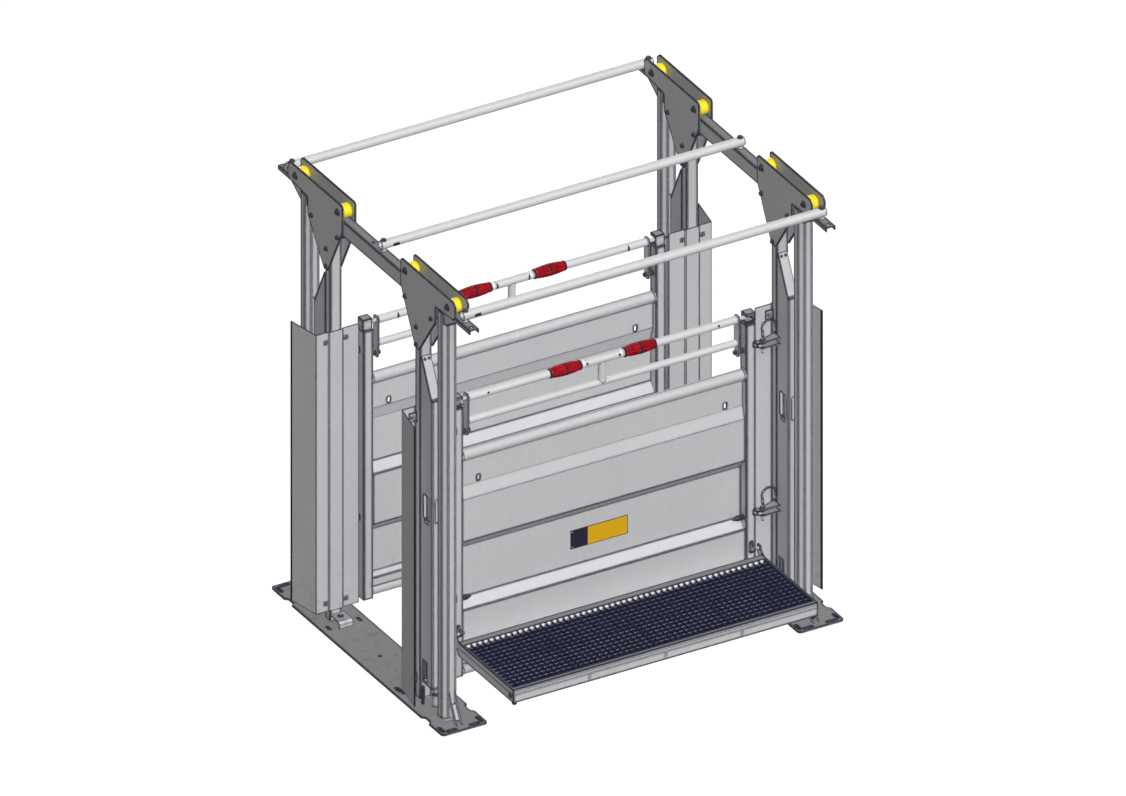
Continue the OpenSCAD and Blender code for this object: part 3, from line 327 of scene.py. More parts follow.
def yellowNylon(name):
    coat = newFinish(name)
    place = coat.place()
    turned = coat.node(
        "TexWave", {"wave_type": "BANDS", "bands_direction": "X"},
        {"Vector": place, "Scale": rollerLook["toolMarks"], "Distortion": 0.4, "Detail": 1.0},
    )
    smear = coat.clouds(place, 34.0, 4.0).rise(0.45, 0.8)
    colour = coat.mix(smear * 0.45, rollerLook["colour"], rollerLook["shade"])
    colour = coat.mix(coat.edges(0.004) * 0.75, colour, rollerLook["rim"])
    return coat.finish({
        "Base Color": colour,
        "Roughness": 0.46 + smear * 0.2,
        "Specular IOR Level": 0.30,
        "Normal": coat.bump(turned, 0.10, 0.0003),
    })


gripLook = {
    "colour": (0.50, 0.004, 0.010),
    "deep": (0.27, 0.002, 0.008),
    "length": 0.185,
    "ring": 0.012,
    "endRadius": 0.0235,
    "midRadius": 0.0325,
    "swell": (1.36, 0.85),  # angle and power of the barrel's curve
    "bore": 0.0216,
    "along": 0.215,
    "ribs": 8,
    "perRib": 8,
    "rows": 28,
    "crown": 0.0011,
    "groove": 0.0022,
    "ribbed": 0.90,  # share of the barrel that has grooves
    "band": 0.055,  # half the dark band round the middle, as a share
    # the end collars: distance from their start, reach past the end radius
    "collar": ((0.0, 0.0012), (0.002, 0.0030), (0.007, 0.0030), (0.010, 0.0016), (0.012, 0.0002)),
}


def mouldedRed(name):
    coat = newFinish(name)
    place = coat.place()
    mottled = coat.clouds(place, 26.0, 3.0)
    return coat.finish({
        "Base Color": coat.mix(mottled.rise(0.35, 0.7), gripLook["colour"], gripLook["deep"]),
        "Roughness": 0.42 + mottled * 0.18,
        "Specular IOR Level": 0.03,
        "Normal": coat.bump(coat.flakes(place, 620.0, "Distance"), 0.22, 0.0004),
    })


rubberLook = {"colour": (0.020, 0.018, 0.026), "dust": (0.09, 0.085, 0.085)}


def blackRubber(name):
    coat = newFinish(name)
    place = coat.place()
    dust = coat.clouds(place, 45.0, 4.0).rise(0.5, 0.8)
    return coat.finish({
        "Base Color": coat.mix(dust * 0.5, rubberLook["colour"], rubberLook["dust"]),
        "Roughness": 0.52 + dust * 0.2,
        "Specular IOR Level": 0.08,
        "Normal": coat.bump(coat.clouds(place, 500.0, 2.0), 0.2, 0.0004),
    })


gratingLook = {
    "colour": (0.012, 0.012, 0.034),
    "grain": (0.026, 0.027, 0.056),
    "crest": (0.075, 0.077, 0.115),
    "crestBand": (0.0042, 0.0008),  # painted highlight and wear on the crests: they start and are full this far below the top
    "toothWear": ((0.078, 0.080, 0.125), (0.165, 0.170, 0.245)),
    "halfX": 0.865,
    "backY": -0.582,
    "frontY": -1.063,
    "top": 0.317,
    "depth": 0.025,
    "play": 0.001,
    "pitch": 0.0333,
    "bar": 0.0026,
    "cross": 0.0020,
    "tooth": 0.0060,
    "toothShares": (0.28, 0.45, 0.83),  # the crest's end and the notch's two ends, along each tooth
    "sink": 0.0034,
    "lap": 0.0003,
    "nib": 0.0085,
    "nibTall": 0.0044,
    "nibThick": 0.0014,
    "nibCrest": 0.80,
    "nibSpread": (0.85, 0.3),  # shares of the width that all nibs have, and that varies
    # the bright triangles at the rear rim, which are painted light: their corners and thickness
    "clip": ((-0.0110, 0.0013, 0.0), (0.0110, 0.0013, 0.0), (0.0, 0.0085, 0.0150)),
    "clipThick": 0.0010,
}


def serratedDark(name):
    coat = newFinish(name)
    place = coat.place()
    grain = coat.clouds(place, 70.0, 4.0)
    start, full = (gratingLook["top"] - drop for drop in gratingLook["crestBand"])
    # painted highlight and wear: the crests of the bars are lighter
    rub = coat.axis(place, "Z").rise(start, full)
    rub = (rub * coat.clouds(place, 22.0, 2.0).rise(0.30, 0.62) * 0.62).clamp()
    colour = coat.mix(grain, gratingLook["colour"], gratingLook["grain"])
    colour = coat.mix(rub, colour, gratingLook["crest"])
    return coat.finish({
        "Base Color": colour,
        "Metallic": 0.05,
        "Roughness": 0.46 + grain * 0.2 - rub * 0.15,
        "Specular IOR Level": 0.05,
        "Normal": coat.bump(grain, 0.25, 0.0008),
    })


def wornTooth(name):
    coat = newFinish(name)
    place = coat.place()
    # painted highlight and wear: the nibs are lighter than the bars
    rub = coat.clouds(place, 55.0, 3.0).rise(0.25, 0.75)
    return coat.finish({
        "Base Color": coat.mix(rub, *gratingLook["toothWear"]),
        "Metallic": 0.10,
        "Roughness": 0.55 - rub * 0.12,
        "Specular IOR Level": 0.06,
        "Normal": coat.bump(coat.clouds(place, 300.0, 2.0), 0.2, 0.0005),
    })


weldLook = {"dull": (0.30, 0.305, 0.31), "bright": (0.52, 0.53, 0.54)}


def weldMetal(name):
    coat = newFinish(name)
    scale = coat.clouds(coat.place(), 130.0, 4.0)
    return coat.finish({
        "Base Color": coat.mix(scale, weldLook["dull"], weldLook["bright"]),
        "Metallic": 0.45,
        "Roughness": 0.36 + scale * 0.25,
        "Normal": coat.bump(scale, 0.4, 0.0008),
    })


plateLook = {
    "amber": (0.68, 0.38, 0.010),
    "slate": (0.024, 0.022, 0.042),
    "chip": (0.35, 0.35, 0.35),
    "middle": (0.0, 0.643),
    "width": 0.332,
    "height": 0.108,
    "split": 0.30,
    "face": -0.423 + acrossMiddle,
    "rim": 0.004,
    "gap": 0.001,
    "rivetInset": 0.010,
    "rivetSeat": 0.0021,
    "rivet": ((-0.001, 0.0036), (0.0004, 0.0034), (0.0013, 0.0022), (0.0016, 0.0)),
}


def enamel(name, colour):
    coat = newFinish(name)
    place = coat.place()
    fade = coat.clouds(place, 19.0, 4.0)
    tone = coat.dim(colour, 0.93 + fade * 0.14)
    chips = coat.edges(0.0012, 0.02, 0.06, 4) * coat.clouds(place, 160.0, 2.0).rise(0.45, 0.6) * 0.5
    return coat.finish({
        "Base Color": coat.mix(chips, tone, plateLook["chip"]),
        "Roughness": 0.30 + fade * 0.16,
        "Specular IOR Level": 0.15,
        "Coat Weight": 0.03,
        "Normal": coat.bump(coat.clouds(place, 300.0, 2.0), 0.06, 0.0004),
    })


def paleFloor(setup):
    coat = newFinish("paleFloor")
    speck = coat.clouds(coat.place(), 3.0, 2.0)
    tone = coat.dim((setup["floor"], setup["floor"], setup["floor"]), 0.985 + speck * 0.03)
    paint = coat.node("BsdfPrincipled", {}, {"Base Color": tone, "Roughness": 0.9})
    white = coat.node("Emission", {}, {"Color": (1.0, 1.0, 1.0), "Strength": setup["floorLevel"]})
    ray = coat.node("LightPath", {}, {}, "Is Camera Ray")
    both = coat.node("MixShader", {}, {0: ray * setup["floorGlow"], 1: paint, 2: white})
    coat.node("OutputMaterial", {}, {"Surface": both})
    return coat.owner


def paleWorld(setup):
    world = bpy.data.worlds.new("paleRoom")
    air = Finish(world)
    seen, gloss, through = (
        air.node("LightPath", {}, {}, ray)
        for ray in ("Is Camera Ray", "Is Glossy Ray", "Is Transmission Ray")
    )
    shown = (seen + gloss + through).clamp()
    power = shown + (1.0 - shown) * setup["ambient"]
    sky = air.node("Background", {}, {"Color": (1.0, 1.0, 1.0), "Strength": power})
    air.node("OutputWorld", {}, {"Surface": sky})
    scene.world = world


finishes = {  # one for each material slot of the record
    "galvanised_tube": galvanised("galvanisedTube", galvanisedLook["tube"]),
    "galvanised_plate": galvanised("galvanisedPlate", galvanisedLook["plate"]),
    "dark_fasteners": darkZinc("darkZinc"),
    "yellow_roller": yellowNylon("yellowNylon"),
    "red_grip": mouldedRed("mouldedRed"),
    "dark_grating": serratedDark("serratedDark"),
}
trimFinishes = {  # galvanised steel with other edge lines, brighter copies of it for painted highlight on the rails and for the bright triangles and runs, and the finishes of the trim
    "small": galvanised("galvanisedSmall", galvanisedLook["small"]),
    "rail": galvanised("galvanisedRail", galvanisedLook["rail"]),
    "column": galvanised("galvanisedColumn", galvanisedLook["column"]),
    "bolt": galvanised("galvanisedBolt", galvanisedLook["bolt"]),
    "rubber": blackRubber("blackRubber"),
    "clip": galvanised("clipSteel", galvanisedLook["clip"]),
    "bead": weldMetal("weldBead"),
    "tooth": wornTooth("wornTooth"),
}
rubber = trimFinishes["rubber"]
print("finishes made:", len(finishes) + len(trimFinishes))

placeCamera(viewSetup)
for lamp in ("wash", "key", "back"):
    addSun(lamp + "Lamp", lampSetup[lamp])
paleWorld(lampSetup)
scene.view_settings.view_transform = "Standard"
print("camera, lamps and world placed")

# CAD nodes keep their shape and get their slot's finish, or a steel whose edge lines suit their size; the
# rails' steel is brighter, as painted highlight
steelFor = {
    "small": (
        "lock_pin", "channel_ramps", "foot_brackets", "guard_", "walkway_hinge", "column_struts",
    ),
    "rail": ("roof_rail", "flap_", "latch_rod"),
    "column": ("outer_columns", "walkway_frame"),
    "bolt": ("guard_bolts",),  # after "small", so that it holds for them
}
for part in frame["record"]["subparts"]:
    finish = finishes[part["material_slot"]]
    for steel, starts in steelFor.items():
        if part["node"].startswith(starts):
            finish = trimFinishes[steel]
    shown = nodes[part["node"]].data
    shown.materials.clear()
    shown.materials.append(finish)
print("nodes finished:", len(nodes))


# mesh helpers
def makePiece(name, mesh, body, slot, *materials, smooth=True, turnOut=False):
    if turnOut:  # all faces look outwards
        bmesh.ops.recalc_face_normals(mesh, faces=mesh.faces)
    data = bpy.data.meshes.new(name)
    mesh.normal_update()
    mesh.to_mesh(data)
    mesh.free()
    for material in materials:
        data.materials.append(material)
    if smooth:
        for polygon in data.polygons:
            polygon.use_smooth = True
    piece = bpy.data.objects.new(name, data)
    scene.collection.objects.link(piece)
    if body:
        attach(piece, body)
    return piece


def turns(count, shift=0.0):  # equal angles once round
    return [2 * math.pi * (k + shift) / count for k in range(count)]


def addRing(mesh, centre, side, other, radius, around):
    if radius < 1e-6:  # a ring that closes to a point
        return [mesh.verts.new(centre)]
    return [
        mesh.verts.new(centre + (side * math.cos(angle) + other * math.sin(angle)) * radius)
        for angle in turns(around)
    ]


def joinRings(mesh, first, second, material=0):
    around = max(len(first), len(second))
    for k in range(around):
        n = (k + 1) % around
        picks = ((first, k), (first, n), (second, n), (second, k))
        corners = list(dict.fromkeys(ring[i % len(ring)] for ring, i in picks))
        if len(corners) > 2:
            mesh.faces.new(corners).material_index = material


wobbleScale = 140.0  # how fine the unevenness of a swept bar is


def sweep(mesh, path, radius, around=8, closed=False, wobble=0.0, seed=0):  # round bar along a path
    count = len(path)
    rings, side = [], None
    for i, point in enumerate(path):
        before = path[i - 1] if i or closed else point
        after = path[(i + 1) % count] if i < count - 1 or closed else point
        along = (after - before).normalized()
        if side is None:
            side = along.orthogonal().normalized()
        side = (side - along * side.dot(along)).normalized()
        size = radius
        if wobble:
            size *= 1.0 + wobble * noise.noise(point * wobbleScale + Vector((seed, 0, 0)))
        rings.append(addRing(mesh, point, side, along.cross(side), size, around))
    for i in range(count if closed else count - 1):
        joinRings(mesh, rings[i], rings[(i + 1) % count])
    if not closed:
        mesh.faces.new(rings[0][::-1])
        mesh.faces.new(rings[-1])


def lathe(mesh, centre, axis, profile, around=32, material=0):
    # profile: pairs of distance along the axis and radius, turned about the axis through centre
    axis = Vector(axis).normalized()
    side = axis.orthogonal().normalized()
    other = axis.cross(side)
    rings = [
        addRing(mesh, Vector(centre) + axis * along, side, other, radius, around)
        for along, radius in profile
    ]
    for first, second in zip(rings, rings[1:]):
        joinRings(mesh, first, second, material)


def block(mesh, low, high, material=0, bevel=0.0):
    corners = bmesh.ops.create_cube(mesh, size=1.0)["verts"]
    for corner in corners:
        corner.co = Vector([(a + b) / 2 + c * (b - a) for a, b, c in zip(low, high, corner.co)])
    shell = list({face for corner in corners for face in corner.link_faces})
    for face in shell:
        face.material_index = material
    if bevel:
        edges = list({edge for face in shell for edge in face.edges})
        cut = bmesh.ops.bevel(mesh, geom=edges, offset=bevel, segments=2, affect="EDGES", profile=0.7)
        for face in cut["faces"]:
            face.material_index = material


def skinBar(mesh, corners, material=0):  # over cross sections of four corners each, ends closed
    for k in range(0, len(corners) - 4, 4):
        a, b = corners[k:k + 4], corners[k + 4:k + 8]
        for p, q in ((0, 1), (1, 3), (3, 2), (2, 0)):
            mesh.faces.new((a[p], a[q], b[q], b[p])).material_index = material
    for end in ((0, 2, 3, 1), (-4, -3, -1, -2)):
        mesh.faces.new([corners[i] for i in end]).material_index = material


def prism(mesh, outline, low, high):  # upright, over a flat outline
    foot, head = ([mesh.verts.new((x, y, z)) for x, y in outline] for z in (low, high))
    mesh.faces.new(foot)
    mesh.faces.new(head)
    joinRings(mesh, foot, head)


# red grips with grooves, dark bands and dark end collars
def gripRadius(t, look):  # t runs from -1 to 1 along the barrel
    angle, power = look["swell"]
    swell = math.cos(t * angle) ** power
    return look["endRadius"] + (look["midRadius"] - look["endRadius"]) * swell


def addBarrel(mesh, middle, look):
    rows, perRib, reach = look["rows"], look["perRib"], look["length"] / 2 - look["ring"]
    rings = []
    for i in range(rows + 1):
        t = -1.0 + 2.0 * i / rows
        ring = []
        for k, angle in enumerate(turns(look["ribs"] * perRib)):
            crown = look["crown"] * (math.cos(2 * math.pi * (k % perRib) / perRib) - 1.0)
            groove = look["groove"] if k % perRib == perRib // 2 and abs(t) < look["ribbed"] else 0.0
            radius = gripRadius(t, look) + crown - groove
            offset = Vector((t * reach, radius * math.cos(angle), radius * math.sin(angle)))
            ring.append(mesh.verts.new(middle + offset))
        rings.append(ring)
    for i, (first, second) in enumerate(zip(rings, rings[1:])):
        t = abs(-1.0 + 2.0 * (i + 0.5) / rows)
        for k in range(len(first)):
            n = (k + 1) % len(first)
            grooved = k % perRib in (perRib // 2 - 1, perRib // 2) and t < look["ribbed"]
            skin = mesh.faces.new((first[k], second[k], second[n], first[n]))
            skin.material_index = 1 if grooved or t < look["band"] else 0


def makeGrip(side, face, look):
    across = faces[face] * raceSizes["panel"] + acrossMiddle
    middle = Vector((sides[side] * look["along"], across, raceSizes["topRail"]))
    half, bore = look["length"] / 2, look["bore"]
    start = half - look["ring"]
    mesh = bmesh.new()
    addBarrel(mesh, middle, look)
    collar = [(start + along, look["endRadius"] + proud) for along, proud in look["collar"]]
    for way in (-1, 1):
        lathe(mesh, middle, (way, 0, 0), collar + [(half, bore), (start, bore)], 40, 1)
    piece = makePiece(
        f"grip{face.title()}{side.title()}", mesh, f"latch_{face}_{side}", "red_grip",
        finishes["red_grip"], rubber,
    )
    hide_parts(f"grip_{face}_{side}")


for face in faces:
    for side in sides:
        makeGrip(side, face, gripLook)
print("grips made")

# lock pin chains
chainLook = {
    "links": 12,
    "wire": 0.0023,
    "long": 0.0200,
    "wide": 0.0135,
    "roll": 0.25,
    "tilt": 0.2,
    "linkSteps": 14,
    "pin": (0.900, 0.500, 0.072),  # both ends: X, Y from the middle line, height above the lugs
    "anchor": (0.994, 0.474, 0.062),
    "rise": 0.064,
    "pulls": ((0.28, 0.9), (0.10, 1.35)),  # how far the curve leans back and lifts at each end
    "heights": {"upper": 1.506, "lower": 0.539},  # middles of the lugs
    "eye": ((0.002, -0.006), (-0.006, -0.005), (-0.009, 0.001), (-0.006, 0.007), (0.002, 0.008)),
    "eyeWire": 0.0022,
}


def chainCurve(start, end, look):  # rises from the pull ring, leans over and drops to the column
    run = (end - start).x
    (startLean, startLift), (endLean, endLift) = look["pulls"]
    first = start + Vector((-run * startLean, 0, look["rise"] * startLift))
    second = end + Vector((-run * endLean, 0, look["rise"] * endLift))
    points = []
    steps = 240
    for i in range(steps + 1):
        t = i / steps
        u = 1 - t
        points.append(start * u ** 3 + first * 3 * u * u * t + second * 3 * u * t * t + end * t ** 3)
    return points


def evenly(points, count):  # the same curve with points at equal distances
    total = [0.0]
    for a, b in zip(points, points[1:]):
        total.append(total[-1] + (b - a).length)
    spaced, j = [], 0
    for i in range(count):
        want = total[-1] * i / (count - 1)
        while j < len(total) - 2 and total[j + 1] < want:
            j += 1
        t = (want - total[j]) / max(total[j + 1] - total[j], 1e-9)
        spaced.append(points[j].lerp(points[j + 1], t))
    return spaced


def addLink(mesh, centre, along, roll, look):
    along = along.normalized()
    side = along.cross(Vector((0, 1, look["tilt"]))).normalized()
    side = Matrix.Rotation(roll, 3, along) @ side
    radius = look["wide"] / 2
    straight = look["long"] / 2 - radius
    path = []
    for angle in turns(look["linkSteps"]):
        shift = straight if math.cos(angle) > 0 else -straight
        path.append(centre + along * (math.cos(angle) * radius + shift) + side * math.sin(angle) * radius)
    sweep(mesh, path, look["wire"], 6, closed=True)


def makeChain(side, face, level, look):
    signX, signY, height = sides[side], faces[face], look["heights"][level]
    start, end = (
        Vector((signX * x, signY * y + acrossMiddle, height + z))
        for x, y, z in (look["pin"], look["anchor"])
    )
    curve = evenly(chainCurve(start, end, look), look["links"])
    mesh = bmesh.new()
    for i, point in enumerate(curve):
        along = curve[min(i + 1, len(curve) - 1)] - curve[max(i - 1, 0)]
        addLink(mesh, point, along, math.pi / 2 * (i % 2) + look["roll"], look)
    # eye on the column that the last link hangs in
    sweep(mesh, [end + Vector((signX * x, 0, z)) for x, z in look["eye"]], look["eyeWire"], 8)
    piece = makePiece(
        f"pinChain{face.title()}{side.title()}{level.title()}", mesh, None, "dark_fasteners",
        finishes["dark_fasteners"],
    )
    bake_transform(piece)


for face in faces:
    for side in sides:
        for level in chainLook["heights"]:
            makeChain(side, face, level, chainLook)
print("pin chains made")


# grating with serrated bearing bars, nibs on its cross bars, and bright triangles at the rear rim that are
# painted light
def addBearingBar(mesh, x, y0, y1, low, top, teeth, look):
    notch = top - look["tooth"]
    outline = [(y0, low)]
    for k in range(teeth):
        start, end = (y0 + (y1 - y0) * n / teeth for n in (k, k + 1))
        crestEnd, notchStart, notchEnd = (start + (end - start) * share for share in look["toothShares"])
        outline += [(start, top), (crestEnd, top), (notchStart, notch), (notchEnd, notch)]
    outline += [(y1, top), (y1, low)]
    left = [mesh.verts.new((x, y, z)) for y, z in outline]
    right = [mesh.verts.new((x + look["bar"], y, z)) for y, z in outline]
    joinRings(mesh, left, right)
    for bar, step in ((left, 1), (right, -1)):  # the flat sides, split into one strip per tooth
        foot = bar[0]
        for t in range(teeth):
            run = bar[1 + 4 * t:6 + 4 * t]
            nextFoot = bar[-1]
            if t < teeth - 1:
                nextFoot = mesh.verts.new((foot.co.x, run[-1].co.y, low))
            corners = list(dict.fromkeys([foot, *run, nextFoot]))
            mesh.faces.new(corners[::step])
            foot = nextFoot


def addNib(mesh, x, y, z, wide, look):  # long pressed tooth
    thick, crestWide = look["nibThick"], wide * look["nibCrest"]
    corners = ((-wide, -thick), (wide, -thick), (wide, thick), (-wide, thick))
    foot = [mesh.verts.new((x + a, y + b, z)) for a, b in corners]
    crest = [mesh.verts.new((x + a, y, z + look["nibTall"])) for a in (-crestWide, crestWide)]
    for skin in (
        (foot[0], foot[1], crest[1], crest[0]), (foot[2], foot[3], crest[0], crest[1]),
        (foot[3], foot[0], crest[0]), (foot[1], foot[2], crest[1]),
    ):
        mesh.faces.new(skin).material_index = 1


def addLitTriangle(mesh, x, y, z, look):  # painted light: a bright flat triangle at the rear rim, standing for the rim's lit inner wall between the bars
    low = [mesh.verts.new((x + a, y - b, z - c)) for a, b, c in look["clip"]]
    high = [mesh.verts.new((v.co.x, v.co.y - look["clipThick"], v.co.z)) for v in low]
    mesh.faces.new(high[::-1])
    mesh.faces.new(low)
    joinRings(mesh, low, high)


def makeGrating(look):
    mesh, litTriangles = bmesh.new(), bmesh.new()
    x0, x1 = -look["halfX"], look["halfX"]
    y0, y1 = look["frontY"] + acrossMiddle, look["backY"] + acrossMiddle
    top = look["top"] - look["play"]
    low = top - look["depth"] + look["play"]
    columns, rows = round((x1 - x0) / look["pitch"]), round((y1 - y0) / look["pitch"])
    stepX, stepY = (x1 - x0 - look["bar"]) / columns, (y1 - y0 - look["bar"]) / rows
    for i in range(columns + 1):
        addBearingBar(mesh, x0 + i * stepX, y0, y1, low, top, rows * 2, look)
    crossTop = top - look["sink"]
    steady, varied = look["nibSpread"]
    for j in range(rows):
        y = y0 + j * stepY
        block(mesh, (x0, y, low + look["lap"]), (x1, y + look["cross"], crossTop))
        for i in range(columns):  # a raised nib between each pair of bearing bars
            wide = look["nib"] * (steady + varied * noise.noise(Vector((i * 0.7, j * 0.9, 0))))
            addNib(mesh, x0 + (i + 0.5) * stepX, y + look["cross"] / 2, crossTop - look["lap"], wide, look)
    piece = makePiece(
        "serratedGrating", mesh, "walkway", "dark_grating",
        finishes["dark_grating"], trimFinishes["tooth"], smooth=False,
    )
    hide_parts("walkway_grating")
    for i in range(columns):
        addLitTriangle(litTriangles, x0 + (i + 0.5) * stepX, y1, top, look)
    makePiece(
        "gratingClips", litTriangles, "walkway", "galvanised_tube", trimFinishes["clip"],
        smooth=False, turnOut=True,
    )


makeGrating(gratingLook)
print("grating made")

# weld beads
beadLook = {
    "size": 0.0030,
    "thin": 0.85,  # share of the size on the flaps
    "wobble": 0.35,
    "postFace": 0.8162,
    "postRails": ((0.0, 1.333, 0.0308), (0.008, 0.099, 0.0248)),  # shift outwards, height, radius
    "columnFeet": ((0.450, 0.033, 0.024), (0.6845, 0.039, 0.0375)),  # place across, half sizes
    "footHeight": 0.0105,
    "footInset": 0.010,
    "endPlate": 0.7772,
    "flapRails": ((raceSizes["topRail"], 0.0215), (raceSizes["lowRail"], 0.0193)),
    "strutEnds": ((raceSizes["lowRail"] + 0.0185, -1), (raceSizes["topRail"] - 0.0205, 1)),
    "strutRadius": 0.0202,
    "strutFlat": 0.96,
    "strutDip": 0.0105,
}


def ringPath(centre, radius, count=56):
    return [Vector(centre) + Vector((0, math.cos(a), math.sin(a))) * radius for a in turns(count)]


def linePath(start, end, step=0.004):
    count = max(2, int((end - start).length / step))
    return [start.lerp(end, k / count) for k in range(count + 1)]


def addBead(mesh, path, size, closed, seed):
    sweep(mesh, path, size, 6, closed, beadLook["wobble"], seed)


def frameBeads(look):
    mesh = bmesh.new()
    number = 0
    for signY in faces.values():
        for signX in sides.values():
            for shift, z, radius in look["postRails"]:
                number += 1
                y = signY * raceSizes["panel"] + acrossMiddle + shift * signY
                path = ringPath((signX * look["postFace"], y, z), radius)
                addBead(mesh, path, look["size"], True, number)
            for across, halfX, halfY in look["columnFeet"]:
                x, y, z = signX * raceSizes["columns"], signY * across + acrossMiddle, look["footHeight"]
                corners = [
                    Vector((x + i * halfX, y + j * halfY, z))
                    for i, j in ((-1, -1), (1, -1), (1, 1), (-1, 1))
                ]
                for i, j in ((0, 1), (3, 2), (1, 2)):
                    number += 1
                    inset = (corners[j] - corners[i]).normalized() * look["footInset"]
                    path = linePath(corners[i] + inset, corners[j] - inset)
                    addBead(mesh, path, look["size"], False, number)
    makePiece("frameWeldBeads", mesh, "frame", "galvanised_tube", trimFinishes["bead"])


def flapBeads(face, look):
    mesh = bmesh.new()
    y = faces[face] * raceSizes["panel"] + acrossMiddle
    size = look["size"] * look["thin"]
    for signX in sides.values():
        for z, radius in look["flapRails"]:
            path = ringPath((signX * look["endPlate"], y, z), radius)
            addBead(mesh, path, size, True, z * 10 + signX)
    for z, way in look["strutEnds"]:  # these beads follow the round of the rail
        path = []
        for angle in turns(48):
            x = look["strutRadius"] * math.cos(angle)
            out = look["strutRadius"] * math.sin(angle) * look["strutFlat"]
            path.append(Vector((x, y + out, z + look["strutDip"] * math.sin(angle) ** 2 * way)))
        addBead(mesh, path, size, True, z * 20)
    makePiece(
        f"flapWeldBeads{face.title()}", mesh, f"flap_{face}", "galvanised_tube", trimFinishes["bead"]
    )


frameBeads(beadLook)
for face in faces:
    flapBeads(face, beadLook)
print("weld beads made")


# two-tone plate on the front panel: a slate end and an amber field
def makeNamePlate(look):
    mesh = bmesh.new()
    (x, z), y = look["middle"], look["face"]
    halfX, halfZ = look["width"] / 2, look["height"] / 2
    split = x - halfX + look["width"] * look["split"]
    rim, gap = look["rim"], look["gap"]
    fields = (  # left, right, margin, front and back of each field, its finish and its rounding
        (x - halfX, x + halfX, 0.0, 0.0016, 0.0001, 0, 0.0006),
        (x - halfX + rim, split - gap, rim, 0.0021, 0.0015, 0, 0.0002),
        (split + gap, x + halfX - rim, rim, 0.0023, 0.0015, 1, 0.0003),
    )
    for left, right, margin, front, back, finish, rounding in fields:
        low = (left, y - front, z - halfZ + margin)
        high = (right, y - back, z + halfZ - margin)
        block(mesh, low, high, finish, rounding)
    for signX in (-1, 1):
        for signZ in (-1, 1):
            rivetX = x + signX * (halfX - look["rivetInset"])
            rivetZ = z + signZ * (halfZ - look["rivetInset"])
            lathe(mesh, (rivetX, y - look["rivetSeat"], rivetZ), (0, -1, 0), look["rivet"], 20, 2)
    makePiece(
        "namePlateBare", mesh, "frame", "dark_fasteners",
        enamel("slateEnamel", look["slate"]), enamel("amberEnamel", look["amber"]),
        trimFinishes["bead"], smooth=False,
    )


makeNamePlate(plateLook)
print("name plate made")

# dark domed caps over the roof rail bolts
capLook = {
    "seat": 0.0463,  # above the underside of the roof rails
    "radius": 0.0125,
    "skirt": ((0.0, 0.0035), (0.0022, 0.0035), (0.0026, 0.0008)),  # height, and reach past the radius
    "domeStart": 0.0045,
    "domeRise": 0.0068,
    "domeRadius": 0.0131,
    "domeSteps": 6,
}


def makeRailCaps(look):
    mesh = bmesh.new()
    profile = [(up, look["radius"] + out) for up, out in look["skirt"]]
    for k in range(look["domeSteps"] + 1):
        angle = math.pi / 2 * k / look["domeSteps"]
        up = look["domeStart"] + math.sin(angle) * look["domeRise"]
        profile.append((up, look["domeRadius"] * math.cos(angle)))
    for y in raceSizes["roofRailsAt"]:
        for signX in sides.values():
            foot = (signX * raceSizes["columns"], y + acrossMiddle, raceSizes["roofRail"] + look["seat"])
            lathe(mesh, foot, (0, 0, 1), profile)
    makePiece("railBoltCaps", mesh, "frame", "dark_fasteners", finishes["dark_fasteners"])


makeRailCaps(capLook)
print("rail caps made")

# dark washers under the axle heads and the threshold bolts
washerLook = {
    "plates": ((1.070, 1), (0.988, -1)),  # X of the head plates' faces, and the way each looks
    "hole": 0.0164, "rim": 0.0208, "thick": 0.0024,
    "threshold": (0.006, 0.389, 0.048),  # past the column row, from the middle line, height
    "boltHole": 0.0113, "boltRim": 0.0175,
}


def addWasher(mesh, centre, axis, hole, rim, thick):  # its edges are broken
    profile = [
        (0.0, hole), (0.0, rim - 0.0004), (0.0004, rim), (thick - 0.0007, rim),
        (thick, rim - 0.0008), (thick, hole + 0.0003), (thick - 0.0003, hole), (0.0, hole),
    ]
    lathe(mesh, centre, axis, profile, 48)


def makeWashers(look):
    mesh = bmesh.new()
    for side, signX in sides.items():
        for face in faces:
            for place in ("inner", "outer"):
                low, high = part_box(f"roller_{face}_{side}_{place}")
                y, z = (low[1] + high[1]) / 2, (low[2] + high[2]) / 2
                for plate, way in look["plates"]:
                    axis = (signX * way, 0, 0)
                    addWasher(mesh, (signX * plate, y, z), axis, look["hole"], look["rim"], look["thick"])
        past, across, z = look["threshold"]
        for signY in faces.values():
            centre = (signX * raceSizes["columns"] + past, signY * across + acrossMiddle, z)
            addWasher(mesh, centre, (0, 0, 1), look["boltHole"], look["boltRim"], look["thick"])
    makePiece("darkWashers", mesh, "frame", "dark_fasteners", finishes["dark_fasteners"])


makeWashers(washerLook)
print("washers made")

# dark plugs in the roof rails' drain slots
drainPlugLook = {
    "start": -0.982, "length": 0.031, "drop": 0.013, "radius": 0.0236,
    "axis": 0.02415,  # above the underside of the roof rails
    "play": 0.0003, "thick": 0.0022, "steps": 8,
}


def makeDrainPlugs(look):
    mesh = bmesh.new()
    play = look["play"]
    ends = (look["start"] + play, look["start"] + look["length"] - play)
    for across in raceSizes["roofRailsAt"]:
        corners = []
        for k in range(look["steps"] + 1):  # down the rail's curve
            drop = play + (look["drop"] - 2 * play) * k / look["steps"]
            out = math.sqrt(look["radius"] ** 2 - drop ** 2)
            z = raceSizes["roofRail"] + look["axis"] - drop
            for depth in (0.0, look["thick"]):
                y = across + acrossMiddle - (out - depth)
                corners += [mesh.verts.new((x, y, z)) for x in ends]
        skinBar(mesh, corners)
    makePiece("railSlotPlugs", mesh, "frame", "dark_fasteners", rubber, smooth=False, turnOut=True)


makeDrainPlugs(drainPlugLook)
print("drain plugs made")

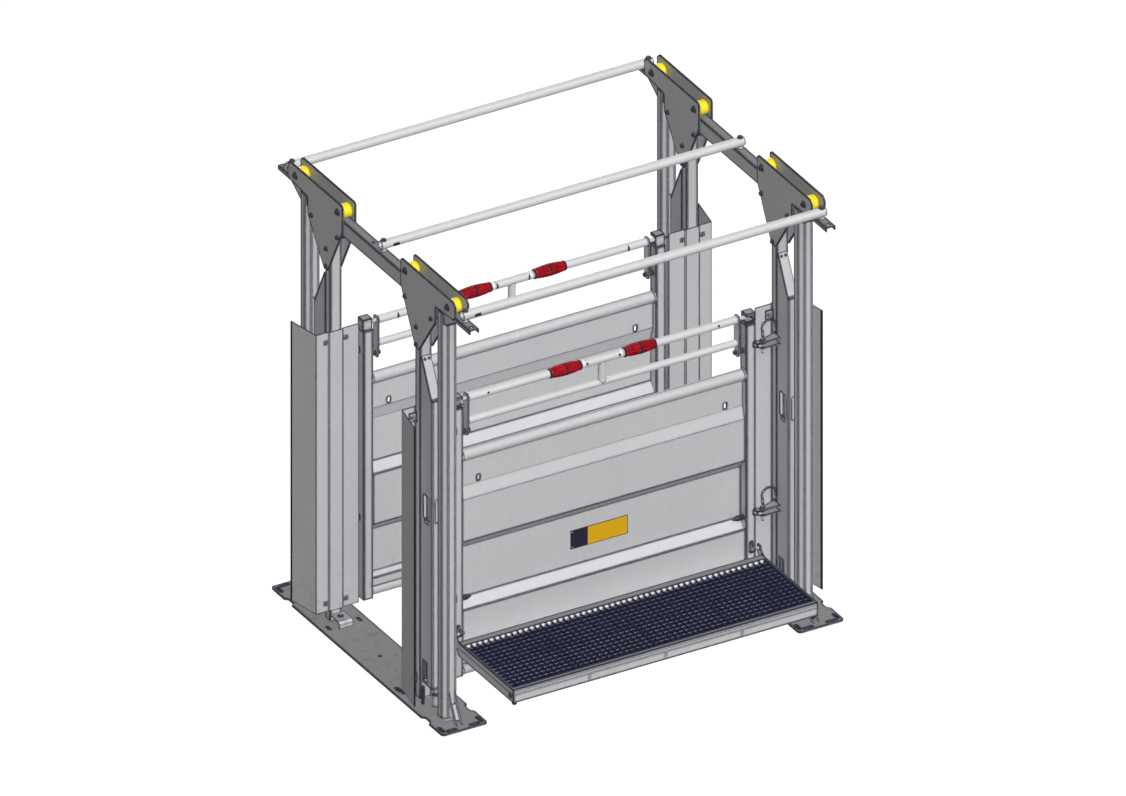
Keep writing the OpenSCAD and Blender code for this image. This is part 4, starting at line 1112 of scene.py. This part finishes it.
# polished runs beside the grips, dark plugs in the flap rails' slots and holes
sleeveLook = {
    "radius": 0.0212,
    "proud": 0.0003,
    "run": (0.0965, 0.1200),
    "marks": (0.093, 0.665),
    "sunk": 0.0004,
    "markWidth": 0.0066,
    "markPlay": 0.0002,
    "markDepth": (1.005, 0.900),  # outside and inside of the slot plugs, as shares of the radius
    "markArc": (-54.0, 114.0),
    "markSteps": 16,
    "hole": 0.0066,
    "holeTilt": 14.0,
    "holeRings": ((0.0, 0.00015), (0.6, 0.00015), (1.0, 0.0001), (1.0, -0.0016), (0.0, -0.0016)),
}


def addSleeve(mesh, start, end, centre, look):
    inside, outside = look["radius"] - look["sunk"], look["radius"] + look["proud"]
    shell = [(start, inside), (start, outside), (end, outside), (end, inside), (start, inside)]
    lathe(mesh, centre, (1, 0, 0), shell, 40)


def addSlotPlug(mesh, centre, signY, look):  # runs round the side towards the passage
    corners = []
    start, stop = look["markArc"]
    half = look["markWidth"] / 2 - look["markPlay"]
    for k in range(look["markSteps"] + 1):
        angle = math.radians(start + (stop - start) * k / look["markSteps"])
        for depth in look["markDepth"]:
            reach = look["radius"] * depth
            y, z = centre[1] - signY * math.cos(angle) * reach, centre[2] - math.sin(angle) * reach
            corners += [mesh.verts.new((centre[0] + x, y, z)) for x in (-half, half)]
    skinBar(mesh, corners, 1)


def addHolePlug(mesh, centre, signY, look):  # a disc that follows the rail's curve
    rings = []
    for share, height in look["holeRings"]:
        size, reach = share * look["hole"], look["radius"] + height
        ring = []
        for turn in turns(24 if share else 1):
            angle = math.radians(look["holeTilt"]) + size * math.sin(turn) / look["radius"]
            x = centre[0] + size * math.cos(turn)
            y, z = centre[1] + signY * reach * math.cos(angle), centre[2] + reach * math.sin(angle)
            ring.append(mesh.verts.new((x, y, z)))
        rings.append(ring)
    for first, second in zip(rings, rings[1:]):
        joinRings(mesh, first, second, 1)


def makeSleeves(face, look):
    mesh = bmesh.new()
    signY = faces[face]
    y, z = signY * raceSizes["panel"] + acrossMiddle, raceSizes["topRail"]
    for signX in sides.values():
        addSleeve(mesh, *sorted(signX * x for x in look["run"]), (0, y, z), look)
        for along in look["marks"]:
            addSlotPlug(mesh, (signX * along, y, z), signY, look)
            addHolePlug(mesh, (signX * along, y, z), signY, look)
    makePiece(
        f"railSleeves{face.title()}", mesh, f"flap_{face}", "galvanised_tube",
        trimFinishes["clip"], rubber, turnOut=True,
    )


for face in faces:
    makeSleeves(face, sleeveLook)
print("slot plugs and rail sleeves made")

# dark rubber strips on the guards' free edges: painted shade that stands for a shaded return lip
stripLook = {"angle": 10.7, "plate": 0.004, "wide": 0.0125, "wall": 0.0007, "short": 0.001}


def makeGuardShadeStrips(look):
    mesh = bmesh.new()
    angle, wall, wide = math.radians(look["angle"]), look["wall"], look["wide"]
    corner, back = wall * 0.4, look["plate"]
    section = (  # along the guard's sheet, and out from its face
        (-wide, wall), (corner, wall), (wall, corner),
        (wall, -back - corner), (corner, -back - wall), (-wide, -back - wall),
    )
    for side, signX in sides.items():
        for face, signY in faces.items():
            low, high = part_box(f"guard_{face}_{side}")
            tip = Vector((high[0] if signX > 0 else low[0], high[1] if signY > 0 else low[1]))
            along = Vector((signX * math.sin(angle), signY * math.cos(angle)))
            out = Vector((signX * math.cos(angle), -signY * math.sin(angle)))
            outline = [tip + along * u + out * v for u, v in section]
            prism(mesh, outline, low[2] + look["short"], high[2] - look["short"])
    makePiece("guardEdgeStrips", mesh, "frame", "dark_fasteners", rubber, smooth=False, turnOut=True)


makeGuardShadeStrips(stripLook)
print("guard strips made")

# black plugs sunk in the base plates' slots as painted shade in them, on the places that the record gives
basePlugLook = {
    "play": 0.0003, "low": 0.0002, "high": 0.0055, "around": 32,
    "drain": (-0.094, -0.271),  # drain slot near the threshold: from the plate's middle, and its Y
    "drainLong": 0.046,
}


def addBasePlug(mesh, centre, radius, length, alongX, look):
    radius, outline = radius - look["play"], []
    straight = length / 2 - look["play"] - radius
    for angle in turns(look["around"], 0.5):
        u = math.cos(angle) * radius + (straight if math.cos(angle) > 0 else -straight)
        v = math.sin(angle) * radius
        x, y = (u, v) if alongX else (v, u)
        outline.append((centre[0] + x, centre[1] + y))
    prism(mesh, outline, look["low"], look["high"])


def makeBaseSlotShadePlugs(look):
    mesh = bmesh.new()
    for mount in frame["record"]["mounts"]:
        size, (middleX, middleY) = mount["dims"], mount["pos_m"][:2]
        if "slot_length_mm" not in size:
            continue
        radius, long = size["hole_r_mm"] / 1000, size["slot_length_mm"] / 1000
        spreadX, spreadY = size.get("spacing_x_mm", 0) / 2000, size["spacing_y_mm"] / 2000
        for x in (-spreadX, spreadX) if spreadX else (0,):
            for y in (-spreadY, spreadY):
                addBasePlug(mesh, (middleX + x, middleY + y), radius, long, bool(spreadX), look)
        if spreadX:
            x, y = look["drain"]
            addBasePlug(mesh, (middleX + x, y), radius, look["drainLong"], False, look)
    makePiece("baseSlotPlugs", mesh, "frame", "dark_fasteners", rubber, smooth=False, turnOut=True)


makeBaseSlotShadePlugs(basePlugLook)
print("base plugs made")

# dark grommets in the panel sheets' slots
grommetLook = {
    "along": 0.7112, "height": 1.1789, "plane": 0.4485, "half": 0.0026,
    "outer": 0.0122, "inner": 0.0068, "straight": 0.008, "soft": 0.0006, "around": 32,
}


def addGrommet(mesh, signX, signY, look):
    half, soft, outer, inner = look["half"], look["soft"], look["outer"], look["inner"]
    section = (
        (outer - soft, half), (outer, half - soft), (outer, soft - half), (outer - soft, -half),
        (inner + soft, -half), (inner, soft - half), (inner, half - soft), (inner + soft, half),
    )
    rings = []
    for radius, out in section:
        y = signY * look["plane"] + acrossMiddle + out
        ring = []
        for angle in turns(look["around"], 0.5):
            straight = look["straight"] if math.sin(angle) > 0 else -look["straight"]
            x = signX * look["along"] + math.cos(angle) * radius
            ring.append(mesh.verts.new((x, y, look["height"] + math.sin(angle) * radius + straight)))
        rings.append(ring)
    for i, ring in enumerate(rings):
        joinRings(mesh, ring, rings[(i + 1) % len(rings)])


def makeGrommets(look):
    mesh = bmesh.new()
    for signX in sides.values():
        for signY in faces.values():
            addGrommet(mesh, signX, signY, look)
    makePiece("slotGrommets", mesh, "frame", "dark_fasteners", rubber, turnOut=True)


makeGrommets(grommetLook)
print("grommets made")

# walkway trim: corner bolts and rubber stops under the front corners
trimLook = {
    "corner": (0.880, -1.090),
    "bolt": (0.0, 0.030, 0.273),  # inset from the corner along X and Y, height
    "boltHead": (
        (-0.001, 0.016), (0.0016, 0.0155), (0.0018, 0.0105),
        (0.0050, 0.0105), (0.0062, 0.0090), (0.0062, 0.0),
    ),
    "stop": (0.018, 0.020, 0.240),
    "stopShape": (  # distance below the frame, radius
        (-0.002, 0.0070), (0.006, 0.0070), (0.0075, 0.01118), (0.011, 0.0130),
        (0.015, 0.01261), (0.0185, 0.00936), (0.020, 0.0),
    ),
}


def makeWalkwayTrim(look):
    bolts, stops = bmesh.new(), bmesh.new()
    cornerX, cornerY = look["corner"]
    for signX in sides.values():
        boltAt, stopAt = (
            (signX * (cornerX - x), cornerY + acrossMiddle + y, z)
            for x, y, z in (look["bolt"], look["stop"])
        )
        lathe(bolts, boltAt, (signX, 0, 0), look["boltHead"], 36)
        lathe(stops, stopAt, (0, 0, -1), look["stopShape"])
    makePiece("walkwayCornerBolts", bolts, "walkway", "dark_fasteners", finishes["dark_fasteners"])
    makePiece("walkwayRubberStops", stops, "walkway", "dark_fasteners", rubber)


makeWalkwayTrim(trimLook)
print("walkway trim made")

# floor
floorLook = {"size": 30.0, "drop": 0.0005}
floorMesh = bmesh.new()
bmesh.ops.create_grid(floorMesh, x_segments=2, y_segments=2, size=floorLook["size"])
for v in floorMesh.verts:
    v.co.z = -floorLook["drop"]
floor = makePiece("yardFloor", floorMesh, None, None, paleFloor(lampSetup), smooth=False)

print("scene ready")
